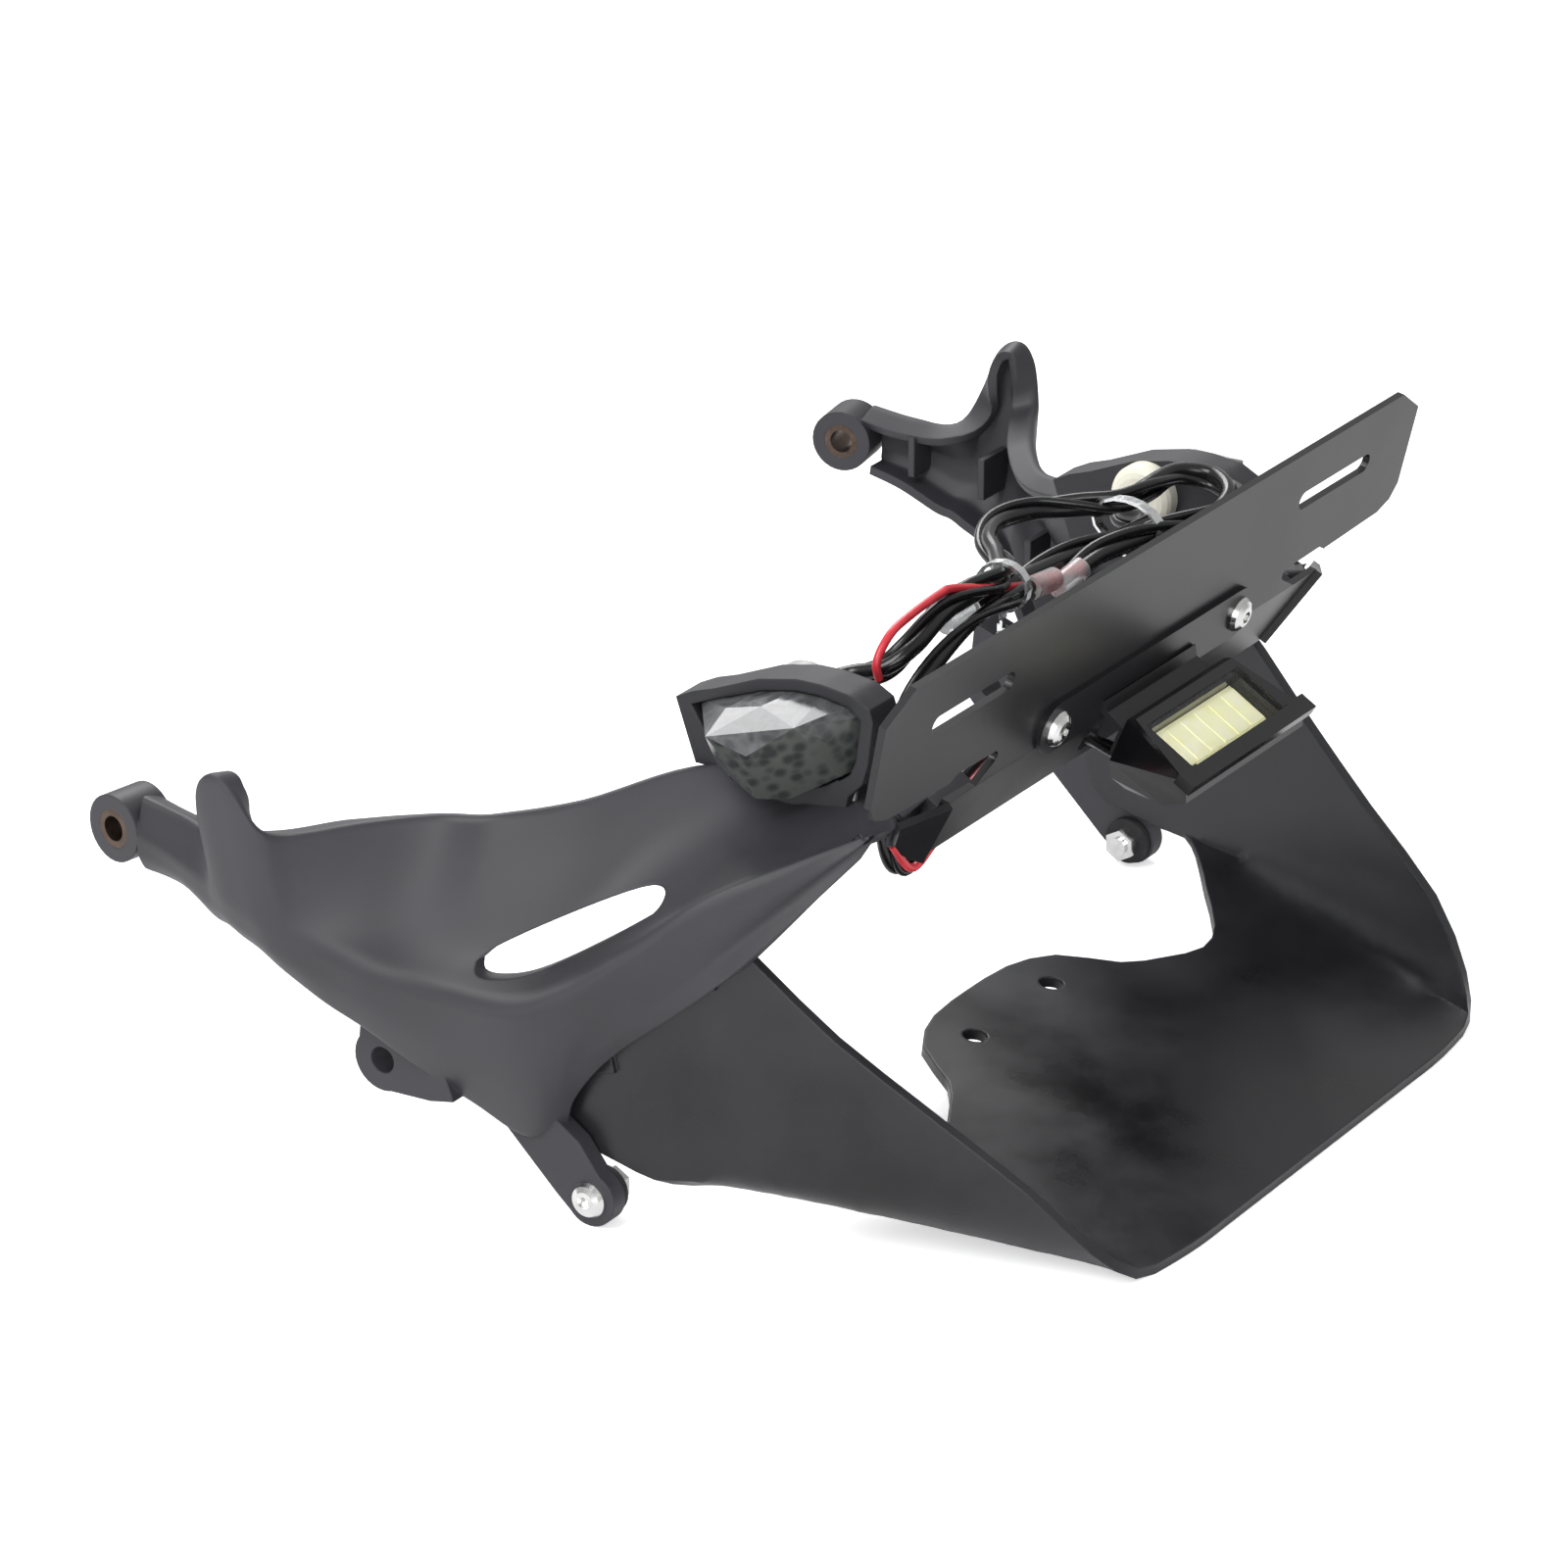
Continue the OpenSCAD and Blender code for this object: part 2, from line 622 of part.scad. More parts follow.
stem_diameter = 8;
stem_centre = [-24, 130];

module pod() {
    difference() {
        side_extrude(pod_x, pod_x + pod_depth) polygon(pod_points);
        side_extrude(lens_base_x, pod_x + pod_depth + 1) polygon(pod_hollow);
        side_extrude(pod_x - 1, lens_base_x + 1) translate(stem_centre)
            circle(d = stem_diameter + gap, $fn = fine);
        point_hull([for (q = lens_points(lens_base_x, 0)) [lens_base_x, -24, 126] + 1.02 * (q - [lens_base_x, -24, 126])]);
        under_pod();
        for (q = pod_screw_places) translate(q) cylinder(d = 2.6, h = 11, $fn = 16);
    }
}

module left_pod() {
    color("#2b2c2f") on_side(-1) pod();
}

module right_pod() {
    color("#2b2c2f") pod();
}

module lens() {
    difference() {
        point_hull(lens_points(lens_base_x, 0));
        point_hull(lens_points(lens_base_x - 1, lens_wall));
    }
}

module left_lens() {
    color("#3a2f28") on_side(-1) lens();
}

module right_lens() {
    color("#3a2f28") lens();
}

// The light board leans behind the rear facet of the lens, on a foot that stands on the pod's back wall
board_corners = [[110, -26.5, 126.5], [104, -25, 116], [93, -38.5, 119.5], [95.5, -38, 124]];
board_normal = unit(cross(board_corners[2] - board_corners[0], board_corners[1] - board_corners[3]));
function on_board(u, v) =
    (board_corners[0] * (1 - u) + board_corners[3] * u) * (1 - v)
    + (board_corners[1] * (1 - u) + board_corners[2] * u) * v;

module light_board() {
    back = [for (p = board_corners) [lens_base_x, p.y + 2.5, p.z + 1.4]];
    front = [for (p = board_corners) p - board_normal * 3.5];
    point_hull([each back, each front]);
    for (u = [0.14, 0.4, 0.66, 0.9], v = [0.25, 0.75])
        let (c = on_board(u, v) - board_normal * 3.5)
            translate(c) multmatrix(frame(board_normal)) cylinder(d = chip_diameter, h = 0.8, $fn = 16);
}

// The turning that takes +z to a given direction
function frame(n) = let (a = unit(cross([0, 0, 1], n)), b = cross(n, a)) [
    [a.x, b.x, n.x, 0], [a.y, b.y, n.y, 0], [a.z, b.z, n.z, 0], [0, 0, 0, 1]
];

module left_light_board() {
    color("#d9dcc8") on_side(-1) light_board();
}

module right_light_board() {
    color("#d9dcc8") light_board();
}

module cap() {
    r = cap_diameter / 2;
    translate([pod_x, stem_centre.x, stem_centre.y]) rotate([0, -90, 0]) {
        rotate_extrude($fn = fine) polygon([
            [0, 0], [r, 0], [r, cap_height * 0.55], [r - 0.5, cap_height * 0.75], [r - 1.6, cap_height * 0.92],
            [r - 3, cap_height], [0, cap_height]
        ]);
        translate([0, 0, -pod_wall]) cylinder(d = stem_diameter, h = pod_wall + 1, $fn = fine);
    }
}

module left_cap() {
    color("#e8e4d4") on_side(-1) cap();
}

module right_cap() {
    color("#e8e4d4") cap();
}

// Two screws come up through the arm's ledge into the pod's floor
pod_screw_places = [[91, -26, 101.5], [91, -44, 104.5]];

module pod_screws() {
    color("#9a9da0") for (side = [-1, 1], q = pod_screw_places)
        on_side(side) translate(q) {
            translate([0, 0, -2]) cylinder(d = 5.5, h = 2, $fn = 24);
            translate([0, 0, -1]) cylinder(d = 2.6, h = 12, $fn = 16);
        }
}

// The licence lamp: its sheet, screwed over the plate bracket, and the housing on the sheet's tongue
tongue_half = 22.3;

module sheet_outline() {
    hull() for (s = [-1, 1]) translate([s * lamp_screw_spacing / 2, lamp_screw_height]) circle(7, $fn = 32);
}

tongue_profile = [
    [-74.1, 119.4], [-72.6, 119], [-72.1, 116.3], [-77.9, 112.4], [-75.5, 106.2], [-76.9, 105.6], [-79.7, 112.7],
    [-74.6, 116.4]
];

module lamp_bracket() {
    color("#3f4043") difference() {
        union() {
            on_plate() linear_extrude(lamp_sheet) sheet_outline();
            side_extrude(-tongue_half, tongue_half) polygon(tongue_profile);
        }
        on_plate() translate([0, 0, -1]) linear_extrude(4) both_halves()
            translate([lamp_screw_spacing / 2, lamp_screw_height]) circle(d = screw_hole, $fn = fine);
        for (side = [-1, 1]) lamp_peg(side, peg_diameter + 0.2);
    }
}

peg_diameter = 4;

// The slanted frame of the lamp: x across, y down along the lens to the front lip, z out of the lens
lamp_back_top = [-83.7, 117.3];
lamp_slant = 31.2;
board_depth = 7;
lens_seat = 1.6;
lip_reach = 23.5;
lip_height = 5;

// The side of the lamp's body, as (y, z): its back at the tongue, its floor and its front
lamp_back_side = [lamp_back_top, [-81.3, 116.6], [-76.5, 104.6]];
lamp_floor_side = [[-76.5, 99.5], [-80.7, 97.5]];
lamp_front_side = [[-101.6, 100.9], [-101.4, 106.6]];
lamp_chin = [-94, 97.8];
tongue_space = [[-79.7, 122], [-79.7, 112.7], [-76.5, 104.6], [-70, 104.6], [-70, 122]];
peg_centre = [14, -78.3, 109];
peg_turn = 21.6;
grommet_hole = 6.3;

module on_lamp() {
    translate([0, lamp_back_top.x, lamp_back_top.y]) rotate([180 + lamp_slant, 0, 0]) mirror([0, 0, 1]) children();
}

module lamp_peg(side, d) {
    translate([side * peg_centre.x, peg_centre.y, peg_centre.z]) rotate([peg_turn, 0, 0]) rotate([-90, 0, 0])
        translate([0, 0, -lamp_sheet]) cylinder(d = d, h = 3 * lamp_sheet, $fn = 24);
}

module lamp_body() {
    a = lamp_back_width / 2;
    c = lamp_front_width / 2 - 1.5;
    point_hull([
        for (s = [-1, 1]) each [
            for (q = lamp_back_side) [s * a, q.x, q.y],
            for (q = lamp_floor_side) [s * (a - 1), q.x, q.y],
            [s * (c - 2), lamp_chin.x, lamp_chin.y],
            for (q = lamp_front_side) [s * c, q.x, q.y]
        ]
    ]);
}

module lamp_housing() {
    h = strip_length / 2 + lamp_wall - 0.4;
    lip_start = lip_reach - lip_height;
    color("#161719") difference() {
        union() {
            lamp_body();
            on_lamp() translate([-lamp_front_width / 2, lip_start, -lens_seat])
                cube([lamp_front_width, lip_height, 2 * lamp_sheet]);
            for (side = [-1, 1]) lamp_peg(side, peg_diameter);
        }
        side_extrude(-tongue_half - 0.2, tongue_half + 0.2) polygon(tongue_space);
        on_lamp() translate([-h, 4, -board_depth]) cube([2 * h, strip_depth + 3.2, 20]);
        on_lamp() translate([-h - 1.2, 3, -lens_seat]) cube([2 * h + 2.4, strip_depth + 5, 20]);
        translate([grommet_x, -70, 101]) rotate([90, 0, 0]) cylinder(d = grommet_hole, h = 11.8, $fn = 32);
    }
}

board_thickness = 1.6;

module lamp_board() {
    w = strip_length;
    step = w / strip_chips;
    color("#e6e6c8") on_lamp() {
        translate([-w / 2 - 1, 4.3, -board_depth]) cube([w + 2, strip_depth + 2.6, board_thickness]);
        for (i = [0:strip_chips - 1])
            translate([-w / 2 + step * (i + 0.5), strip_depth / 2 + 5.6, board_thickness - board_depth])
                linear_extrude(1) square([step - 0.5, strip_depth], center = true);
    }
}

module lamp_lens() {
    h = strip_length / 2 + lamp_wall + 0.6;
    color("#cfd4d6") on_lamp() translate([-h, 3.2, -lens_seat]) cube([2 * h, strip_depth + 4.6, lens_seat]);
}

module lamp_screws() {
    color("#d5d7d8") for (side = [-1, 1]) on_plate()
        translate([side * lamp_screw_spacing / 2, lamp_screw_height, lamp_sheet])
            button_screw(lamp_sheet + plate_sheet + nut_height + 1.5);
}

module lamp_nuts() {
    color("#c3c5c7") for (side = [-1, 1]) on_plate()
        translate([side * lamp_screw_spacing / 2, lamp_screw_height, -plate_sheet - nut_height]) nut();
}

grommet_x = -10;

module lamp_grommet() {
    color("#141416") translate([grommet_x, -76.5, 101]) rotate([-90, 0, 0]) difference() {
        rotate_extrude($fn = 32) polygon([[0, -5], [3.1, -5], [3.1, 0], [4, 0], [3.5, 5], [0, 5]]);
        translate([0, 0, 1]) cylinder(d = lamp_lead_diameter, h = 6, $fn = 8);
    }
}

// The leads, each a route of points from the end that is fastened
lamp_lead_diameter = 4.2;
left_cap_end = [-(pod_x - cap_height), stem_centre.x, stem_centre.y];
left_route = [
    [-72, -24, 130], [-66, -28, 131], [-64, -36, 134], [-58, -40, 138.5], [-43, -40, 143.5], [-17, -39.5, 143],
    [-3, -31, 142], [6, -22.5, 142], [18, -18, 142], [30, -21, 142], [38, -29, 142], [46, -36.5, 142],
    [58, -38.5, 143], [71, -40, 143], [76, -48, 142], [69, -57, 141], [54, -59, 140], [40, -51, 139], [24, -46, 138],
    [14, -45, 136.5]
];
right_cap_end = [pod_x - cap_height, stem_centre.x, stem_centre.y];
right_route = [
    [72, -24, 130], [65, -28, 130.5], [61, -37, 133], [52, -43.5, 136.5], [39, -43.5, 137.5], [22, -39.5, 137.5],
    [6, -38, 137.5], [-10, -37.5, 137.5], [-24, -36, 136.5]
];
lamp_route = [
    [-10, -70, 101], [-10, -60, 103], [-12, -51, 106], [-22, -46, 105], [-45, -45, 98], [-62, -45, 88],
    [-71, -44, 85], [-75, -43, 94], [-73, -42, 110], [-68, -43, 124], [-56, -45, 134], [-36, -44, 138.5],
    [-16, -43.5, 138.5], [-8, -43.5, 138]
];
lamp_points = [[grommet_x, -75.5, 101], each smooth(lamp_route, 2)];
left_points = [left_cap_end, each smooth(left_route, 2)];
right_points = [right_cap_end, each smooth(right_route, 2)];
red_arc = [
    [-75, -41, 136], [-76, -41, 141], [-70, -41, 146], [-60, -40.5, 147.5], [-46, -40, 148.2], [-40, -40, 147.8]
];
red_drop = [
    [-30, -49.3, 103], [-46, -48.4, 98], [-62, -48.3, 88.5], [-70, -47.4, 85.5], [-77, -46.4, 94]
];

module lamp_lead() {
    color("#17181a") tube(lamp_points, lamp_lead_diameter);
}

module left_lead() {
    color("#17181a") tube(left_points, lead_diameter);
}

module right_lead() {
    color("#17181a") tube(right_points, lead_diameter);
}

module red_wires() {
    color("#c8232f") {
        tube(smooth(red_arc, 2), wire_diameter, 6);
        tube(smooth(red_drop, 2), wire_diameter, 6);
    }
}

// Clear sleeves at the free ends of the leads
sleeve_length = 11;

module end_sleeve(route) {
    last = len(route) - 1;
    translate(route[last]) multmatrix(frame(unit(route[last] - route[last - 1])))
        cylinder(d = sleeve_diameter, h = sleeve_length, $fn = 24);
}

module connector_sleeves() {
    color("#d8dcdc") {
        end_sleeve(lamp_points);
        end_sleeve(left_points);
        end_sleeve(right_points);
    }
}

// Twist ties: a flat ring round the strands, and its twisted tail
tie_places = [[-16, -40.3, 140.6, 6.5, 6, 8], [41, -43, 139.6, 10, 6, -6]];
tie_width = 3;

module tie(q) {
    a = q[3];
    b = q[4];
    translate([q[0], q[1], q[2]]) rotate([0, 0, q[5]]) {
        rotate([90, 0, 90]) translate([0, 0, -tie_width / 2]) linear_extrude(tie_width) difference() {
            polygon([for (k = [0:15]) [(a + 0.8) * cos(k * 22.5), (b + 0.8) * sin(k * 22.5)]]);
            polygon([for (k = [0:15]) [a * cos(k * 22.5), b * sin(k * 22.5)]]);
        }
        for (k = [0:5])
            translate([0, 0, -b - 1.6 - 2 * k]) rotate([0, 0, 35 * k]) cube([3, 1, 2.4], center = true);
    }
}

module ties() {
    color("#c9cccd") for (q = tie_places) tie(q);
}

left_arm();
right_arm();
tray();
plate_bracket();
eye_collars();
foot_screws();
foot_spacers();
foot_nuts();
tray_screws();
bracket_studs();
bracket_nuts();
left_pod();
right_pod();
pod_screws();
left_lens();
right_lens();
left_light_board();
right_light_board();
left_cap();
right_cap();
lamp_bracket();
lamp_housing();
lamp_board();
lamp_lens();
lamp_screws();
lamp_nuts();
lamp_grommet();
lamp_lead();
left_lead();
right_lead();
red_wires();
connector_sleeves();
ties();
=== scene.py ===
# %% [markdown]
# # A tail tidy on a pale studio floor
#
# The object is the rear carrier of a motorbike: two moulded side arms, a U-shaped tray, a pressed
# plate bracket, two flush indicators and a licence lamp, with their leads tied in a bundle. The
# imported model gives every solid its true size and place. This script gives it the photograph's
# camera, its moulded edges and its finishes.

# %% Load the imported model
import json
import math

import bmesh
import bpy
from mathutils import Matrix, Vector


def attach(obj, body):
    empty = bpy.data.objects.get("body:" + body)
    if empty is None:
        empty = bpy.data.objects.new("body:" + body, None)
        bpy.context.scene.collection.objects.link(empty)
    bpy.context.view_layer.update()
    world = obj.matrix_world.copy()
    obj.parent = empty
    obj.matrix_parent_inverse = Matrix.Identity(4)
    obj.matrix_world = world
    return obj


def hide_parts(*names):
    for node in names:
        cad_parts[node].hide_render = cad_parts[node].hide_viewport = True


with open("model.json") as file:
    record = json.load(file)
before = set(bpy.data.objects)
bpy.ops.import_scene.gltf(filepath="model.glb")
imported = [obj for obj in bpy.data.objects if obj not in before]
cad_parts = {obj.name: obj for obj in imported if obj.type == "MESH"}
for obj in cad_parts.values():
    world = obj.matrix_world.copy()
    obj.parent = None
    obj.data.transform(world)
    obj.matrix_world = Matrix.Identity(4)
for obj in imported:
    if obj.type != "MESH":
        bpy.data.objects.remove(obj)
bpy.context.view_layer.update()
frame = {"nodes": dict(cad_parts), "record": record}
nodes = frame["nodes"]
print("nodes in the frame:", len(nodes))

# %% [markdown]
# ## The camera
#
# The photograph looks down on the left rear corner. Its place was found by fitting known points,
# such as the plate's slots and the screw heads, and a long lens keeps the lines nearly parallel.

# %% Place the camera
MM = 0.001
CAMERA_PLACE = Vector((-1321.2, -826.3, 742.7)) * MM
CAMERA_TURN = math.radians(-56.887)
CAMERA_DIP = math.radians(23.304)
FOCAL_PIXELS = 6700
FRAME_PIXELS = 1600
SENSOR_MM = 36.0
LENS_MM = FOCAL_PIXELS / FRAME_PIXELS * SENSOR_MM

camera_data = bpy.data.cameras.new("studio_camera")
camera_data.lens = LENS_MM
camera_data.sensor_width = SENSOR_MM
camera_data.clip_start = 0.05
camera_data.clip_end = 20.0
camera = bpy.data.objects.new("studio_camera", camera_data)
camera.location = CAMERA_PLACE
camera.rotation_euler = (math.radians(90) - CAMERA_DIP, 0.0, CAMERA_TURN)
bpy.context.scene.collection.objects.link(camera)
bpy.context.scene.camera = camera
print("camera lens in mm:", round(LENS_MM, 2))

# %% [markdown]
# ## The leads
#
# Two indicator leads and the lamp's lead are tied in a bundle behind the plate bracket. The solids
# are plain eight-sided sheaths. Each is drawn here as the strands it stands for: one thick sheath
# and one or two thin ones that wind slowly around the same line. The red wire that rises from the
# bundle runs on inside it, where it shows again between the leads.

# %% Routes of the leads, in millimetres
CAP_FACE_X = 78
CAP_MIDDLE = (-24, 130)
GROMMET_X = -10

left_route = [
    (-CAP_FACE_X, *CAP_MIDDLE), (-72, *CAP_MIDDLE), (-66, -28, 131), (-64, -36, 134), (-58, -40, 138.5),
    (-43, -40, 143.5), (-17, -39.5, 143), (-3, -31, 142), (6, -22.5, 142), (18, -18, 142),
    (30, -21, 142), (38, -29, 142), (46, -36.5, 142), (58, -38.5, 143), (71, -40, 143),
    (76, -48, 142), (69, -57, 141), (54, -59, 140), (40, -51, 139), (24, -46, 138), (14, -45, 136.5),
]
right_route = [
    (CAP_FACE_X, *CAP_MIDDLE), (72, *CAP_MIDDLE), (65, -28, 130.5), (61, -37, 133), (52, -43.5, 136.5),
    (39, -43.5, 137.5), (22, -39.5, 137.5), (6, -38, 137.5), (-10, -37.5, 137.5), (-24, -36, 136.5),
]
lamp_route = [
    (GROMMET_X, -75.5, 101), (-10, -70, 101), (-10, -60, 103), (-12, -51, 106), (-22, -46, 105),
    (-45, -45, 98), (-62, -45, 88), (-71, -44, 85), (-75, -43, 94), (-73, -42, 110), (-68, -43, 124),
    (-56, -45, 134), (-36, -44, 138.5), (-16, -43.5, 138.5), (-8, -43.5, 138),
]
red_arc = [
    (-75, -41, 136), (-76, -41, 141), (-70, -41, 146), (-60, -40.5, 147.5), (-46, -40, 148.2),
    (-40, -40, 147.8), (-24, -41, 143), (-8, -42, 138.5), (8, -44, 136), (28, -46, 136.5),
    (45, -45, 134.5), (60, -44, 130.5),
]
red_drop = [
    (-30, -49.3, 103), (-46, -48.4, 98), (-62, -48.3, 88.5), (-70, -47.4, 85.5), (-77, -46.4, 94),
]

# Strands of a lead: thickness, distance from its middle line, and the angle where they start
LEFT_STRANDS = [(4.2, 0.8, 0.0), (3.0, 2.3, 2.6), (2.3, 2.6, 4.3)]
RIGHT_STRANDS = [(4.4, 0.5, 1.0), (2.3, 2.4, 3.6)]
LAMP_STRANDS = [(3.4, 0.4, 0.5), (2.0, 1.9, 3.4)]
WIRE_STRANDS = [(2.2, 0.0, 0.0)]
TURN_LENGTH = 85.0
print("places along the left lead:", len(left_route))

# %% [markdown]
# A strand's line comes from a smooth curve through the places. It winds around that curve, one turn
# in 85 mm, and a round tube is then drawn along it.

# %% Helpers for smooth and wound lines
SMOOTH_STEPS = 6


def smooth_line(points, steps=SMOOTH_STEPS):
    """A smooth curve through the given points or plain values."""
    last = len(points) - 1
    out = []
    for i in range(last):
        a, b, c, d = points[max(i - 1, 0)], points[i], points[i + 1], points[min(i + 2, last)]
        for k in range(steps):
            t = k / steps
            bend = (2 * a - 5 * b + 4 * c - d) * t**2 + (3 * b - a - 3 * c + d) * t**3
            out.append(0.5 * (2 * b + (c - a) * t + bend))
    return out + [points[last]]


def smooth_route(places):
    """A smooth curve through places given as x, y and z."""
    return smooth_line([Vector(place) for place in places])


def wound_route(points, distance, start):
    """The line of a strand that winds around a smooth route."""
    side = (points[1] - points[0]).orthogonal().normalized()
    travelled = 0.0
    out = []
    for i, p in enumerate(points):
        ahead = (points[min(i + 1, len(points) - 1)] - points[max(i - 1, 0)]).normalized()
        side = (side - ahead * side.dot(ahead)).normalized()
        if i:
            travelled += (p - points[i - 1]).length
        angle = start + 2 * math.pi * travelled / TURN_LENGTH
        out.append(p + distance * (side * math.cos(angle) + ahead.cross(side) * math.sin(angle)))
    return out


# %% Lay each lead on its line
TUBE_ROUNDNESS = 4


def plain_mesh(obj):
    """An object's final form as a mesh of its own."""
    evaluated = obj.evaluated_get(bpy.context.evaluated_depsgraph_get())
    return bpy.data.meshes.new_from_object(evaluated)


def mesh_object(name, mesh):
    """A new object in the scene for this mesh."""
    made = bpy.data.objects.new(name, mesh)
    bpy.context.scene.collection.objects.link(made)
    return made


def dress_node(obj, node):
    """Lets an object ride on the part in place of a node."""
    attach(obj, "root")
    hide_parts(node)


def lay_lead(name, routes, strands, node):
    """Round tubes for a lead's strands, in place of its node; each follows all the routes."""
    made = []
    for number, (thickness, distance, start) in enumerate(strands):
        curve = bpy.data.curves.new(f"{name}_{number}_line", "CURVE")
        curve.dimensions = "3D"
        curve.bevel_depth = thickness / 2 * MM
        curve.bevel_resolution = TUBE_ROUNDNESS
        curve.use_fill_caps = True
        for route in routes:
            points = wound_route(smooth_route(route), distance, start)
            spline = curve.splines.new("POLY")
            spline.points.add(len(points) - 1)
            for spot, p in zip(spline.points, points):
                spot.co = (*(p * MM), 1.0)
            spline.use_smooth = True
        line = mesh_object(f"{name}_{number}_line", curve)
        strand = mesh_object(f"{name}_{number}", plain_mesh(line))
        bpy.data.objects.remove(line)
        dress_node(strand, node)
        made.append(strand)
    return made


left_lead = lay_lead("left_strand", [left_route], LEFT_STRANDS, "left_lead")
right_lead = lay_lead("right_strand", [right_route], RIGHT_STRANDS, "right_lead")
lamp_lead = lay_lead("lamp_strand", [lamp_route], LAMP_STRANDS, "lamp_lead")
red_wires = lay_lead("red_wire", [red_arc, red_drop], WIRE_STRANDS, "red_wires")
print("strands laid:", len(left_lead + right_lead + lamp_lead + red_wires))

# %% [markdown]
# ## The arms
#
# An arm is one moulded shell that runs along four smooth lines: its upper edge, its widest line, its
# lower edge, and the inner line where it meets the tray. Eighteen sections place them, from the
# front eye to the rear tip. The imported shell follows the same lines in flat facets. Here the
# sections are laid three times closer and their corners are rounded, so the skin catches the light
# like a moulding. The right arm is built, and the left one is its mirror image.

# %% Lines of an arm, in millimetres
# One section a line, from the front eye to the rear tip: its points on the upper edge, the widest
# line, the lower edge and the inner line
ARM_SECTIONS = [
    [(168, 114, 102.5), (172, 113, 93), (170, 112, 83), (162, 112, 83)],
    [(169, 101, 101), (174, 101, 91), (169, 101, 81), (161, 101, 81)],
    [(173, 90, 100.5), (176, 90, 88), (171, 90, 76), (162, 90, 76)],
    [(181, 87, 108.5), (178, 85, 87), (171.5, 85, 75), (162, 85, 75)],
    [(185.5, 83.5, 119.5), (179, 81, 86), (171.5, 81, 73), (162, 81, 73)],
    [(187, 77.5, 123.5), (179, 76, 84), (171, 76, 70.5), (162, 76, 70.5)],
    [(186, 72, 120), (178.5, 71, 82), (170, 71, 66.5), (161, 71, 66.5)],
    [(181.5, 67.5, 110), (176.5, 67, 80), (168, 67, 62.5), (159, 67, 62.5)],
    [(173, 63.5, 106), (173, 61, 77), (165, 61, 57), (156, 61, 57)],
    [(156, 53.5, 105.5), (169, 50, 72.5), (160, 54, 50.5), (151, 54, 50.5)],
    [(142, 42, 105.5), (164, 40, 69), (153, 46, 41), (144, 46, 41)],
    [(136.3, 29, 106.5), (160, 28, 66.5), (144, 34, 29.5), (136, 34, 29.5)],
    [(121, 14, 108.4), (157, 13, 66), (136, 22, 20), (131, 17, 19.5)],
    [(99, -3, 113.5), (153, 2, 71), (138, 12, 35), (133, 10, 33)],
    [(84, -22, 113), (146, -12, 82), (138, 3, 48), (133, -1, 47)],
    [(84, -42, 113), (137, -28, 96), (134, -16, 65), (131, -23, 66)],
    [(91, -56, 112.5), (123, -44, 104), (126, -37, 86), (127.5, -39.5, 82)],
    [(101, -63, 111), (106, -58.5, 110.5), (108, -57.5, 108), (106, -59.5, 107.5)],
]
# Section by section: the depth of the valley in the panel, and the round of the ridge below it
VALLEY_DEPTH = [0, 0, 0, 0, 0, 0, 0, 0, 1, 2, 3, 4, 4.5, 4.5, 2, 0.5, 0, 0]
RIDGE_ROUND = [3, 3, 3, 3, 3, 3, 3, 3, 3, 4, 4, 4, 5, 7, 12, 12, 8, 2]
# Where the valley's two lines run, as shares of the way from the upper edge to the widest line, and
# how much of the depth the upper one has
VALLEY_HIGH, VALLEY_LOW = 0.4, 0.72
VALLEY_HIGH_DEPTH = 0.85
EDGE_ROUND = 3.0
FLANGE_DEPTH = 8.0
FLANGE_LEAST_Z = 0.25
ARM_WALL = 2.6
SKIN_SWELL = 1.0

rails = [smooth_line([Vector(section[k]) for section in ARM_SECTIONS]) for k in range(4)]
valley = smooth_line(VALLEY_DEPTH)
ridge = smooth_line(RIDGE_ROUND)
ARM_ROWS = len(valley)
print("rows of points along the arm:", ARM_ROWS)


# %% [markdown]
# A section is drawn from its four points. The skin turns in at the upper edge as a flange, dips into
# the valley, turns softly over the ridge at the widest line, swells a little down the side, and
# turns in again at the lower edge.

# %% Points across the arm
CORNER_SHARE = 2.5
CURVE_STEPS = 3


def along(rail, i):
    """The way a line of the arm runs at one of its points."""
    return rail[min(i + 1, len(rail) - 1)] - rail[max(i - 1, 0)]


def round_corner(corner, before, after, radius, cuts=4):
    """Points of a soft turn at a corner, never longer than a share of the sides."""
    start, end = (
        corner + (other - corner).normalized() * min(radius, (other - corner).length / CORNER_SHARE)
        for other in (before, after)
    )
    turns = [k / cuts for k in range(cuts + 1)]
    return [start.lerp(corner, t).lerp(corner.lerp(end, t), t) for t in turns]


def arm_section(i):
    """The outer skin across the arm: flange, panel, ridge, side and turned-in lower edge."""
    top, wide, low, inner = (rail[i] for rail in rails)
    outward = along(rails[0], i).cross(wide - top).normalized()
    outward_low = along(rails[1], i).cross(low - wide).normalized()
    flange_way = Vector((outward.x, outward.y, max(outward.z, FLANGE_LEAST_Z))).normalized()
    flange = top - flange_way * FLANGE_DEPTH
    valley_high = top.lerp(wide, VALLEY_HIGH) - outward * valley[i] * VALLEY_HIGH_DEPTH
    valley_low = top.lerp(wide, VALLEY_LOW) - outward * valley[i]
    side = wide.lerp(low, 0.5) + outward_low * SKIN_SWELL
    edge_turn = round_corner(top, flange, valley_high, EDGE_ROUND)
    ridge_turn = round_corner(wide, valley_low, side, ridge[i], cuts=6)
    low_turn = round_corner(low, side, inner, EDGE_ROUND)
    panel_line = [edge_turn[-1], valley_high, valley_low, ridge_turn[0]]
    panel = smooth_line(panel_line, CURVE_STEPS)[1:-1]
    flank = smooth_line([ridge_turn[-1], side, low_turn[0]], CURVE_STEPS)[1:-1]
    return [flange, *edge_turn, *panel, *ridge_turn, *flank, *low_turn, inner]


